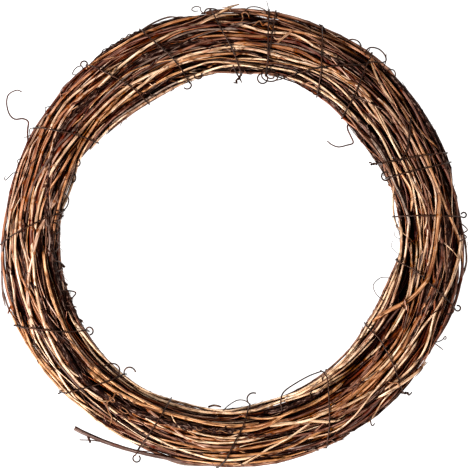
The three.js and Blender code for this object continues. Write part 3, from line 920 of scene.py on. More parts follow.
class CaneReader:
    """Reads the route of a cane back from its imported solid."""

    STEP = 360 // STATIONS
    ON_PLANE = 0.01
    KNUCKLE = 1.04
    """A ring this much thicker than its neighbours is a knuckle."""
    KNUCKLE_SHIFT = 6
    SLIMMER = 0.97
    """Share of the solid's thickness that is left for the cane without its knuckles."""
    STUB_CLEAR = 0.9
    """A vertex this many mm outside the cane belongs to a stub or a tendril."""
    STUB_REACH = 9.0
    """No stub stands out further than this many mm."""
    STUB_WIDTH = 3.5
    STUB_SIZE = 0.55
    STUB_LEAN = math.pi / 3.6
    TENDRIL_NEAR = 6.0

    def __init__(self, node: bpy.types.Object) -> None:
        """Takes a solid's vertices, in mm.

        Args:
            node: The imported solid.
        """
        points = np.array([v.co[:] for v in node.data.vertices]) / MM
        self.points = np.unique(np.round(points, 3), axis=0)
        angle = np.degrees(np.arctan2(self.points[:, 1], self.points[:, 0])) % 360
        self.station = np.rint(angle / self.STEP).astype(int)
        self.in_ring = np.abs(angle - self.STEP * self.station) < self.ON_PLANE
        self.station %= STATIONS

    def rod(self, rng: np.random.Generator) -> Rod:
        """Reads the rings, and bends the cane smoothly from each to the next.

        Args:
            rng: The seeded generator, which moves the knuckles a little.

        Returns:
            The cane's route.
        """
        rings: dict[int, tuple[float, float, float]] = {}
        for station in range(STATIONS):
            ring = self.points[self.in_ring & (self.station == station)]
            if len(ring) < 3:
                continue
            section = np.stack([np.hypot(ring[:, 0], ring[:, 1]), ring[:, 2]], axis=1)
            centre = section.mean(axis=0)
            size = np.linalg.norm(section - centre, axis=1).max()
            rings[station] = (centre[0], centre[1], size)
        start = next(s for s in rings if (s - 1) % STATIONS not in rings)
        turned = [(start + k) % STATIONS for k in range(STATIONS)]
        knots = np.array([rings[s] for s in turned if s in rings])
        share = np.arange(STATION) / STATION
        out, up, radius = np.vstack([*(bend(span, share) for span in spans(knots)), knots[-1:]]).T
        middle = radius[STATION:-STATION:STATION]
        around = (radius[: -2 * STATION : STATION] + radius[2 * STATION :: STATION]) / 2
        found = [STATION * (k + 1) for k in np.flatnonzero(middle > self.KNUCKLE * around)]
        halfway = [(a + b) / 2 for a, b in zip(found, found[1:])]
        shift = self.KNUCKLE_SHIFT
        knuckles = [k + rng.uniform(-shift, shift) for k in found + halfway]
        return Rod(start * STATION, out, up, blur(radius, STATION / 2) * self.SLIMMER, sorted(knuckles))

    def stubs(self, rod: Rod, taken: list[np.ndarray]) -> list[tuple[np.ndarray, np.ndarray, float]]:
        """Finds the cut side shoots.

        Args:
            rod: The cane's route.
            taken: Lines of the tendrils, whose vertices aren't stubs.

        Returns:
            For each, the middle of its root, the middle of its end, and its half thickness.
        """
        line, _ = rod.line(np.arange(len(rod.out), dtype=float))
        found = []
        ends: list[list[np.ndarray]] = []
        for point in self.points[~self.in_ring]:
            if any(np.linalg.norm(route - point, axis=1).min() < self.TENDRIL_NEAR for route in taken):
                continue
            nearest = np.linalg.norm(line - point, axis=1)
            clear = nearest.min() - rod.radius[int(nearest.argmin())]
            if not self.STUB_CLEAR < clear < self.STUB_REACH:
                continue
            for group in ends:
                if np.linalg.norm(group[0] - point) < self.STUB_WIDTH:
                    group.append(point)
                    break
            else:
                ends.append([point])
        for group in ends:
            end = np.mean(group, axis=0)
            high = np.linalg.norm(line - end, axis=1).min()
            back = high * math.tan(self.STUB_LEAN) / math.hypot(end[0], end[1]) / TURN * GRID
            at = (place_of(end[0], end[1]) - back - rod.first) % GRID
            root, radius = rod.line(np.array([min(at, len(rod.out) - 1)]))
            found.append((root[0], end, self.STUB_SIZE * float(radius[0])))
        return found


@dataclass
class Canes(Layer):
    """The canes of the wreath, each rolled round the route of its solid."""

    sides: int = 9
    shoot_sides: int = 6
    wander_mm: float = 0.45

    WAVE = 22
    ROWS, SHOOT_ROWS = (2.0, 9), (3.0, 5)
    """Places from one row of faces to the next, and rows that a knuckle adds, by kind."""
    ROW_GAP = 0.12
    RIDGE = 0.1
    BUD_TURN, BUD_SPREAD = 1.2, 0.6
    KNOT_MM = 1.7
    KNOT_REACH = 3.2
    """How far in mm to either side of a knuckle the rows are closer together."""
    ON_TOP = (
        "slanting_cane_1", "slanting_cane_2", "cut_cane", "crossing_cane",
        "bowed_cane_left", "bowed_cane_right",
    )
    """Canes on the front, which shoots go under."""
    TONES = {bark: (0.1, 0.95) for bark in Bark} | {Bark.OLD: (0.25, 0.75), Bark.GREY: (0.0, 0.4)}
    """How light the canes of each coat are, at least and at most."""
    STUB_SIDES, STUB_RIDGE, STUB_TAPER, STUB_SPACING = 7, 0.08, (1.1, 0.9), 0.8
    """A stub's faces, ridges, thickness at both ends as a share, and mm between its rows."""

    def read(self) -> None:
        """Reads all the canes and puts them in the bundle."""
        self.rods: dict[str, Rod] = {}
        self.readers: dict[str, CaneReader] = {}
        for name in sorted(frame["nodes"]):
            if name.startswith("tie_"):
                continue
            reader = CaneReader(frame["nodes"][name])
            rod = reader.rod(self.rng)
            count = len(rod.out)
            rod.out = rod.out + drift(self.rng, count, self.WAVE, self.wander_mm)
            rod.up = rod.up + drift(self.rng, count, self.WAVE, self.wander_mm)
            rod.up = np.maximum(rod.up, rod.radius + FLOOR_GAP)
            self.rods[name], self.readers[name] = rod, reader
            self.bundle.add(rod, name in self.ON_TOP)

    def strand(self, rod: Rod, tone: float, sides: int, step: float, knot_rows: int) -> Strand:
        """Shapes a rod with its knuckles.

        Args:
            rod: The rod.
            tone: From 0 to 1, how light it is.
            sides: Faces round it.
            step: Places on the grid from one row of its faces to the next.
            knot_rows: How many rows a knuckle has of its own.

        Returns:
            The strand.
        """
        count = len(rod.out)
        rows = set(np.arange(0, count - 1, step).tolist()) | {float(count - 1)}
        near = PLACES_PER_MM * np.linspace(-self.KNOT_REACH, self.KNOT_REACH, knot_rows)
        for knuckle in rod.knuckles:
            rows |= set((knuckle + near).tolist())
        along = np.array(sorted(r for r in rows if 0 <= r <= count - 1))
        along = along[np.concatenate([[True], np.diff(along) > self.ROW_GAP])]
        middle, radius = rod.line(along)
        knot, bud = np.zeros(len(along)), np.zeros(len(along))
        for i, knuckle in enumerate(rod.knuckles):
            near = np.exp(-(((along - knuckle) / PLACES_PER_MM / self.KNOT_MM) ** 2))
            knot = np.maximum(knot, near)
            turn = (i % 2) * math.pi + self.rng.uniform(-self.BUD_SPREAD, self.BUD_SPREAD) + self.BUD_TURN
            bud = np.where(near > 0.01, turn, bud)
        facing = rod.outwards(along)
        return Strand(
            middle, radius, tone, sides, facing, ridge=self.RIDGE, knot=knot, bud=bud, cut=True
        )

    def build(self, dressing: Dressing, tendrils: dict[str, list[Strand]]) -> None:
        """Builds every cane with what grows on it.

        Args:
            dressing: What it is dressed with.
            tendrils: The tendrils on each node.
        """
        slots = {part["node"]: part["material_slot"] for part in frame["record"]["subparts"]}
        for name, rod in self.rods.items():
            bark = Bark(slots[name])
            tone = float(self.rng.uniform(*self.TONES[bark]))
            mesh = StrandMesh(name + "_bark", dressing.skin)
            mesh.add(self.strand(rod, tone, self.sides, *self.ROWS), float(self.rng.uniform(0, TURN)))
            own = tendrils.get(name, [])
            for tendril in own:
                mesh.add(tendril, float(self.rng.uniform(0, TURN)))
            for root, end, radius in self.readers[name].stubs(rod, [t.middle for t in own]):
                line = smooth_line(np.stack([root, (root + end) / 2, end]), self.STUB_SPACING)
                sizes = np.linspace(*self.STUB_TAPER, len(line)) * radius
                stub = Strand(line, sizes, tone, self.STUB_SIDES, ridge=self.STUB_RIDGE, cut=True)
                mesh.add(stub, 0.5)
            finishes = [dressing.barks[bark], dressing.cut, *([dressing.barks[Bark.GREY]] if own else [])]
            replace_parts(mesh.finish(finishes, bark.value), name)

    def build_shoots(self, dressing: Dressing, laid: list[tuple[Rod, Bark, float]]) -> None:
        """Rolls shoots up, one piece for each coat of bark.

        Args:
            dressing: What they are dressed with.
            laid: Each shoot's route, coat and lightness.
        """
        for bark in Bark:
            mesh = StrandMesh("shoots_" + bark.value, dressing.skin)
            for rod, coat, tone in laid:
                if coat is bark:
                    strand = self.strand(rod, tone, self.shoot_sides, *self.SHOOT_ROWS)
                    mesh.add(strand, float(self.rng.uniform(0, TURN)))
            mesh.finish([dressing.barks[bark], dressing.cut], bark.value)


@dataclass(frozen=True)
class TendrilRoute:
    """A tendril that stands clear of the bundle.

    Attributes:
        at: Where it grows, in degrees round the ring.
        facing: Which way the skin faces there, in degrees.
        route: Rows of angle in degrees, distance from the axis and height in mm.
    """

    at: float
    facing: float
    route: np.ndarray

    RADIUS = 0.58
    TAPER = (1.2, 0.75)
    CLEAR = 1.2
    SPACING = 1.2
    COAT = 2

    def line(self, rods: dict[str, Rod]) -> tuple[str, np.ndarray]:
        """Finds the outermost cane where it grows.

        Args:
            rods: The route of each cane.

        Returns:
            The cane's name, and the tendril's middle line from there.
        """
        facing = math.radians(self.facing)
        best, host, root = -1e9, "", None
        for name, rod in rods.items():
            along = (on_grid(self.at) - rod.first) % GRID
            if along > len(rod.out) - 1:
                continue
            point, radius = rod.line(np.array([along]))
            offset = rod.outwards(np.array([along]))[0]
            flat = math.hypot(*point[0][:2]) - float(middle_out(on_grid(self.at)))
            reach = flat * math.cos(facing) + offset[2] * math.sin(facing) + float(radius[0])
            if reach > best:
                best, host, root, size = reach, name, point[0], float(radius[0])
        angle = math.radians(self.at)
        normal = np.array(
            [math.cos(angle) * math.cos(facing), math.sin(angle) * math.cos(facing), math.sin(facing)]
        )
        start = [root, root + normal * (size + self.CLEAR)]
        return host, smooth_line(np.array([*start, *route_points(self.route)]), self.SPACING)

    def strand(self, line: np.ndarray) -> Strand:
        """Shapes it, thinner towards its tip."""
        taper = np.linspace(*self.TAPER, len(line))
        return Strand(line, self.RADIUS * taper, 0.1, 5, ridge=0.06, coat=self.COAT)


@dataclass
class Shoots(Layer):
    """Thin shoots laid over the canes, most in the grooves between them and some slantwise.

    Attributes:
        count: How many to lay.
        slanting: Share of them that slant.
        thickness_mm: Half of it, at least and at most.
        span: How many places on the grid they take.
        stiffness: How many places to either side they bridge rather than follow what is below.
    """

    count: int = 100
    slanting: float = 0.2
    thickness_mm: tuple[float, float] = (0.55, 1.3)
    span: tuple[int, int] = (150, 620)
    stiffness: int = 7

    FRONT, FRONT_DEGREES, BACK_DEGREES = 0.72, (-25, 205), (205, 335)
    """Share that lies on the front and edges, and the directions there and on the back."""
    SLANT, WIND = (0.8, 2.4), (0.0, 0.5)
    """Turns round the bundle for each turn of the ring, for those that slant and the others."""
    KNUCKLES = ((4, 12), (11, 22))
    """Places before the first knuckle and between two."""
    ZIGZAG = 0.45
    ENDS, LOOSE, LIFT, DIP = (5, 9), 0.2, (1.5, 4), 1.2
    """Places over which ends leave the skin, share that stand up, how far, and how deep others go."""
    TAPER = (1.15, 0.65)
    STRIDE = 8
    LANES, DRIFT = 17, math.radians(40)
    CHANGE = 0.25
    COATS = {Bark.PEELED: 0.2, Bark.ORANGE: 0.32, Bark.BROWN: 0.34, Bark.GREY: 0.05, Bark.OLD: 0.09}
    SINK = 0.55
    """Least reach of a shoot, as a share of the bundle's."""
    BEND = 1.25

    def lay(self) -> list[tuple[Rod, Bark, float]]:
        """Lays the shoots one after another, each over those before it.

        Returns:
            Each one's route, coat and lightness.
        """
        coats, weights = list(self.COATS), list(self.COATS.values())
        laid = []
        for _ in range(self.count):
            radius = float(self.rng.uniform(*self.thickness_mm))
            rod = self._lay_one(radius, self.rng.random() < self.slanting)
            self.bundle.add(rod)
            coat = coats[self.rng.choice(len(coats), p=weights)]
            laid.append((rod, coat, float(self.rng.uniform(0.05, 1))))
        return laid

    def _lay_one(self, radius: float, slants: bool) -> Rod:
        """Lays one shoot.

        Args:
            radius: Its half thickness in mm.
            slants: Whether it crosses the others.

        Returns:
            Its route.
        """
        rng = self.rng
        count = int(rng.integers(*self.span))
        first = int(rng.integers(GRID))
        along = np.arange(count)
        sector = self.FRONT_DEGREES if rng.random() < self.FRONT else self.BACK_DEGREES
        start = math.radians(rng.uniform(*sector))
        pace = rng.choice((-1, 1)) * rng.uniform(*(self.SLANT if slants else self.WIND))
        facing = start + pace * (along - count / 2) * TURN / GRID + drift(rng, count, 60, 0.25)
        if not slants:
            facing = self._in_groove(first, facing, radius)
        knuckles = spread_knuckles(rng, count, *self.KNUCKLES)
        bends = [0, *knuckles, count]
        zigzag = np.interp(along, bends, [(-1) ** k * self.ZIGZAG for k in range(len(bends))])
        place = first + along
        reach = self._least_reach(place, facing, radius)
        reach = blur(widest(reach, self.stiffness), self.BEND * self.stiffness)
        for end in (along, count - 1 - along):
            near = 1 - eased(end / rng.uniform(*self.ENDS))
            reach += near * (rng.uniform(*self.LIFT) if rng.random() < self.LOOSE else -(radius + self.DIP))
        facing = facing + zigzag / np.maximum(reach, 5)
        out = middle_out(place) + reach * np.cos(facing)
        out = np.clip(out, hole_edge(place) + radius, OUTER_EDGE - radius)
        up = np.maximum(pressed(MIDDLE_UP + reach * np.sin(facing)), radius + FLOOR_GAP)
        taper = np.linspace(*self.TAPER, count)
        size = radius * (taper if rng.random() < 0.5 else taper[::-1])
        return Rod(first, out, up, size * slimmed(count), knuckles)

    def _least_reach(self, place: np.ndarray, facing: np.ndarray, radius: float) -> np.ndarray:
        """Says how far in mm from the middle a shoot lies that may sink between the canes."""
        sunk = self.SINK * self.bundle.support(place, facing, over=False)
        return np.maximum(self.bundle.reach(place, facing, radius), sunk)

    def _in_groove(self, first: int, facing: np.ndarray, radius: float) -> np.ndarray:
        """Lets a shoot settle where the bundle's skin is lowest near its way.

        Args:
            first: Place on the grid at which it starts.
            facing: The direction in the section that it wants at each place, in radians.
            radius: Its half thickness in mm.

        Returns:
            The direction that it takes at each place.
        """
        along = np.arange(0, len(facing), self.STRIDE)
        offsets = np.linspace(-self.DRIFT, self.DRIFT, self.LANES)
        place, wanted = first + along, facing[along]
        cost = np.array([self._least_reach(place, wanted + offset, radius) for offset in offsets]).T
        best, ways = cost[0], []
        for row in cost[1:]:
            padded = np.pad(best, 1, constant_values=np.inf)
            options = np.stack([padded[:-2] + self.CHANGE, padded[1:-1], padded[2:] + self.CHANGE])
            ways.append(options.argmin(axis=0) - 1)
            best = options.min(axis=0) + row
        lanes = [int(best.argmin())]
        for way in reversed(ways):
            lanes.append(lanes[-1] + int(way[lanes[-1]]))
        settled = np.interp(np.arange(len(facing)), along, offsets[lanes[::-1]])
        return facing + blur(settled, self.STRIDE)


@dataclass
class Lining(Layer):
    """Old dark shoots inside the bundle, near both its edges, that let no light through it."""

    inner: int = 14
    outer: int = 8

    THICKNESS = (1.3, 1.9)
    SPAN = (240, 520)
    IN_FROM_EDGE, LEAST_IN = (1.8, 9.0), 0.6
    HALF_HEIGHT = 6.0
    WAVE, SIDEWAYS, UPWARDS = 70, 1.2, 1.5
    TONE = 0.2

    def lay(self) -> list[tuple[Rod, Bark, float]]:
        """Lays them.

        Returns:
            Each one's route, coat and lightness.
        """
        laid = []
        for index in range(self.inner + self.outer):
            rng = self.rng
            radius, count = float(rng.uniform(*self.THICKNESS)), int(rng.integers(*self.SPAN))
            first = int(rng.integers(GRID))
            place = first + np.arange(count)
            depth = rng.uniform(*self.IN_FROM_EDGE) + drift(rng, count, self.WAVE, self.SIDEWAYS)
            depth = np.maximum(depth, radius + self.LEAST_IN)
            out = hole_edge(place) + depth if index < self.inner else OUTER_EDGE - depth
            level = rng.uniform(-self.HALF_HEIGHT, self.HALF_HEIGHT)
            up = MIDDLE_UP + level + drift(rng, count, self.WAVE, self.UPWARDS)
            rod = Rod(first, out, up, radius * slimmed(count), [])
            self.bundle.add(rod)
            laid.append((rod, Bark.OLD if index % 2 else Bark.BROWN, self.TONE))
        return laid


@dataclass
class FrontShoots(Layer):
    """The shoots that the eye picks out on the front, laid along the routes that they take there.

    Attributes:
        slimness: Their thickness, as a share of what the routes say.
        stiffness: How many places to either side they bridge rather than follow what is below.
    """

    slimness: float = 0.74
    stiffness: int = 5

    KNUCKLES = ((3, 9), (11, 20))
    EVEN = 2.5
    SINK = 0.9
    ENDS, DIP = (4, 8), 1.4
    TAPER = (1.08, 0.85)

    def lay(self, routes: dict[Bark, str], lift: float = 0.0) -> list[tuple[Rod, Bark, float]]:
        """Lays them in the order of their coats, darkest first.

        Args:
            routes: The routes for each coat.
            lift: How far in mm they lie above what is below, to clear the wire, or sink into it.

        Returns:
            Each one's route, coat and lightness.
        """
        laid = []
        for bark, lines in reversed(routes.items()):
            for (radius, tone), points in read_routes(lines):
                laid.append((self._rod(radius * self.slimness, points, lift), bark, tone))
        return laid

    def _rod(self, radius: float, points: np.ndarray, lift: float) -> Rod:
        """Lays one.

        Args:
            radius: Its half thickness in mm.
            points: Rows of angle in degrees and distance from the axis in mm.
            lift: How far in mm it lies above what is below.

        Returns:
            Its route.
        """
        rng = self.rng
        first, last = (int(round(v)) for v in on_grid(points[[0, -1], 0]))
        count = last - first + 1
        along = np.arange(count, dtype=float)
        out = blur(np.interp(first + along, on_grid(points[:, 0]), points[:, 1]), self.EVEN)
        knuckles = spread_knuckles(rng, count, *self.KNUCKLES)
        up = pressed(self.bundle.rest(first + along, out, radius * self.SINK)) + lift
        up = blur(widest(up, self.stiffness), Shoots.BEND * self.stiffness)
        for end in (along, count - 1 - along):
            up -= (1 - eased(end / rng.uniform(*self.ENDS))) * (radius + self.DIP + lift)
        taper = np.linspace(*self.TAPER, count)
        size = radius * (taper if rng.random() < 0.5 else taper[::-1]) * slimmed(count)
        rod = Rod(first % GRID, out, up, size, knuckles)
        self.bundle.add(rod)
        return rod


class TieEnd(Enum):
    """What a tie's wire ends in."""

    NONE = 0
    SPIKE = 1
    CURL = 2
    STRAY = 3


@dataclass(frozen=True)
class Tie:
    """One turn of wire round the bundle.

    Attributes:
        outer: Where it crosses the outer edge, in degrees round the ring.
        inner: Where it crosses the inner edge.
        end: What its wire ends in.
        facing: Where that end is: 0 at the outer edge, 90 on the front, 180 at the inner edge.
        size: A curl's radius or a spike's length, in mm.
        sweep: The angle that a curl turns through.
        second: How far round the ring a second turn lies, in degrees at its outer and inner edge.
    """

    outer: float
    inner: float
    end: TieEnd = TieEnd.NONE
    facing: float = 0.0
    size: float = 0.0
    sweep: float = 0.0
    second: tuple[float, float] | None = None


@dataclass
class Ties:
    """The wire that binds the bundle."""

    bundle: Bundle
    radius: float = 0.5

    FLOOR_WIRE = 0.5
    """Height of the wire's middle where it lies on the table."""
    CORNERS = 36
    SIDES = 6
    TURN_SPACING, CURL_SPACING, STRAY_SPACING = 1.6, 0.8, 1.2
    SPIKE_OUT, SPIKE_ALONG = 0.85, 0.5
    SPIKE_TURN, SPIKE_REACHES = 1.5, (1.0, 0.82)
    """Radians that its two wires turn for each mm, and how much of its length each has."""
    SPIKE_SLIM, SPIKE_SWING, SPIKE_OPEN = 0.92, 1.05, 1.5
    """Shares of the wire's thickness: theirs, how far they swing, and how much further at the tip."""
    CURL_STEP, CURL_RISE = 15, 0.06
    TURNS = (
        Tie(96, 87, TieEnd.SPIKE, 165, 8),
        Tie(81.3, 78.3, TieEnd.CURL, 172, 3.3, 300, (-1.9, 0.5)),
        Tie(67.5, 59.5, TieEnd.CURL, 160, 1.9, 250),
        Tie(53.6, 47.9, TieEnd.CURL, 150, 2.2, 230),
        Tie(21.8, 27.6, TieEnd.SPIKE, 172, 5),
        Tie(19.4, 21.6, TieEnd.CURL, 165, 2.8, 290),
        Tie(5.5, 7.9, TieEnd.CURL, 10, 1.7, 300),
        Tie(342.3, 353.3, TieEnd.CURL, 15, 1.8, 270),
        Tie(317.5, 327.6, TieEnd.SPIKE, 30, 6),
        Tie(292.8, 305.5, TieEnd.STRAY, 172),
        Tie(265.9, 275.9, TieEnd.CURL, 172, 4.2, 170),
        Tie(245.7, 248.8, TieEnd.CURL, 15, 2.4, 310),
        Tie(221.3, 231.8, TieEnd.CURL, 168, 3.9, 180),
        Tie(201.3, 212.9, TieEnd.CURL, 165, 2.5, 260),
        Tie(181.5, 170, TieEnd.SPIKE, 150, 4),
        Tie(151.1, 144.3),
        Tie(130.3, 121.7, TieEnd.CURL, 30, 2.2, 220),
        Tie(114.1, 105.3, TieEnd.CURL, 160, 2.6, 210),
    )
    STRAY = (
        (303.5, 104.6, 24), (299, 103, 25.5), (292.5, 103.6, 27.5),
        (288.2, 106, 29), (286.4, 111, 30.5), (286, 117, 31),
    )
    """The way of the stray end, as angle in degrees, distance from the axis and height in mm."""
    STRAY_OUT, STRAY_BACK = 2.5, 1.5
    LEAN = math.pi / 4.5

    def corners(self, outer: float, inner: float) -> tuple[np.ndarray, np.ndarray]:
        """Pulls the wire tight round the bundle.

        Args:
            outer: Where it crosses the outer edge, in degrees round the ring.
            inner: Where it crosses the inner edge.

        Returns:
            The corners of its middle line, and the directions in the section that they face.
        """
        sector = TURN / self.CORNERS
        directions = np.arange(self.CORNERS) * sector - math.pi / 2
        middle, half = (outer + inner) / 2, (outer - inner) / 2
        place = on_grid(middle + half * np.cos(directions))
        near = place[:, None] + np.array([-1, 0, 1])
        reaches = np.array([self.bundle.support(p, d).max() for p, d in zip(near, directions)])
        reaches += self.radius
        reaches[0] = MIDDLE_UP - self.FLOOR_WIRE
        after, following = directions + sector, np.roll(reaches, -1)
        x = (reaches * np.sin(after) - following * np.sin(directions)) / math.sin(sector)
        z = (following * np.cos(directions) - reaches * np.cos(after)) / math.sin(sector)
        facing = np.arctan2(z, x)
        at = on_grid(middle + half * np.cos(facing))
        points = ring_point(at, middle_out(at) + x, np.maximum(MIDDLE_UP + z, self.FLOOR_WIRE))
        return points, directions + sector / 2

    def _loop(self, points: np.ndarray) -> Strand:
        """Shapes one closed turn of wire."""
        line = smooth_line(np.vstack([points, points[:1]]), self.TURN_SPACING)
        line[:, 2] = np.maximum(line[:, 2], self.FLOOR_WIRE)
        return self._wire(line)

    def _wire(self, line: np.ndarray) -> Strand:
        """Lays a plain length of wire along a line."""
        return Strand(line, np.full(len(line), self.radius), sides=self.SIDES)

    def _end(self, tie: Tie, points: np.ndarray, facing: np.ndarray) -> list[Strand]:
        """Shapes what the wire ends in.

        Args:
            tie: The tie.
            points: The corners of its middle line.
            facing: The direction in the section that each faces.

        Returns:
            The strands of its end.
        """
        nearest = int(np.argmax(np.cos(facing - math.radians(tie.facing))))
        start, way = points[nearest], facing[nearest]
        angle = math.atan2(start[1], start[0])
        normal = np.array([math.cos(angle) * math.cos(way), math.sin(angle) * math.cos(way), math.sin(way)])
        along = np.array([-math.sin(angle), math.cos(angle), 0.0])
        if tie.end is TieEnd.SPIKE:
            return self._spike(start, self.SPIKE_OUT * normal + self.SPIKE_ALONG * along, tie.size)
        if tie.end is TieEnd.STRAY:
            first = start + self.STRAY_OUT * normal - self.STRAY_BACK * along
            line = np.array([start, first, *route_points(self.STRAY)])
            return [self._wire(smooth_line(line, self.STRAY_SPACING))]
        steps = np.linspace(0, tie.sweep, int(tie.sweep / self.CURL_STEP) + 1)
        turn = math.pi + self.LEAN + np.radians(steps)
        out = tie.size * (math.cos(self.LEAN) + np.cos(turn))
        on = tie.size * (math.sin(self.LEAN) + np.sin(turn))
        line = start + out[:, None] * normal + on[:, None] * along
        line[:, 2] += self.CURL_RISE * np.arange(len(turn))
        return [self._wire(smooth_line(line, self.CURL_SPACING))]

    def _spike(self, start: np.ndarray, way: np.ndarray, length: float) -> list[Strand]:
        """Twists both ends of the wire together.

        Args:
            start: Where they leave the bundle.
            way: The direction that they take.
            length: In mm.

        Returns:
            The two wires.
        """
        share = np.linspace(0, 1, 4 * int(length) + 6)
        side = np.cross(way, [0.0, 0.0, 1.0])
        side /= np.linalg.norm(side)
        other = np.cross(way, side)
        other /= np.linalg.norm(other)
        strands = []
        for phase, reach in zip((0.0, math.pi), self.SPIKE_REACHES):
            turn = phase + share * length * self.SPIKE_TURN
            swing = self.radius * self.SPIKE_SWING * (1 + share**6 * self.SPIKE_OPEN)
            line = start + (share * length * reach)[:, None] * way
            line = line + (swing * np.cos(turn))[:, None] * side + (swing * np.sin(turn))[:, None] * other
            strands.append(Strand(line, np.full(len(line), self.radius * self.SPIKE_SLIM), sides=5))
        return strands

    def wind(self) -> None:
        """Winds every tie round the bundle as it is by now."""
        self.wound: dict[str, list[Strand]] = {}
        for index, tie in enumerate(self.TURNS, 1):
            points, facing = self.corners(tie.outer, tie.inner)
            strands = [self._loop(points)]
            if tie.second:
                again, _ = self.corners(tie.outer + tie.second[0], tie.inner + tie.second[1])
                strands.append(self._loop(again))
            if tie.end is not TieEnd.NONE:
                strands += self._end(tie, points, facing)
            self.wound[f"tie_{index:02d}"] = strands

    def build(self, dressing: Dressing) -> None:
        """Builds every tie.

        Args:
            dressing: What it is dressed with.
        """
        for name, strands in self.wound.items():
            mesh = StrandMesh(name + "_wire", None)
            for strand in strands:
                mesh.add(strand, 0.0)
            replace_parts(mesh.finish([dressing.wire], WIRE_SLOT), name)


@dataclass
class Scraps:
    """Bits that lie on the front or stand out at the edges: ends of wire, curls and fine tendrils."""

    bundle: Bundle

    SPACING = 0.7
    EDGE_UP = 20.0
    """Height in mm of a bit that touches nothing below it."""
    TOUCHES_UP = 16.0

    def build(self, dressing: Dressing) -> None:
        """Builds one piece of them for each finish.

        Args:
            dressing: What they are dressed with.
        """
        materials = {bark.value: material for bark, material in dressing.barks.items()}
        materials[WIRE_SLOT] = dressing.wire
        for slot, lines in SCRAP_ROUTES.items():
            mesh = StrandMesh("loose_" + slot, dressing.skin)
            for (radius,), points in read_routes(lines):
                mesh.add(self._strand(radius, points), 0.3 * len(points))
            mesh.finish([materials[slot]], slot)

    def _strand(self, radius: float, points: np.ndarray) -> Strand:
        """Lays a bit down.

        Args:
            radius: Its half thickness in mm.
            points: Rows of angle in degrees and distance from the axis in mm.

        Returns:
            The bit.
        """
        flat = ring_point(on_grid(points[:, 0]), points[:, 1], np.zeros(len(points)))
        line = smooth_line(flat, self.SPACING)
        place = np.arctan2(line[:, 1], line[:, 0]) * GRID / TURN
        out = np.hypot(line[:, 0], line[:, 1])
        up = self.bundle.rest(place, out, radius)
        lies = np.flatnonzero(up > self.TOUCHES_UP)
        index = np.arange(len(up))
        up = np.interp(index, lies, up[lies]) if len(lies) else np.full(len(up), self.EDGE_UP)
        line[:, 2] = blur(widest(up, 2), 2)
        taper = np.interp(index / max(index[-1], 1), [0, 0.8, 1], [1, 1, 0.6])
        return Strand(line, radius * taper, 0.5, 5)


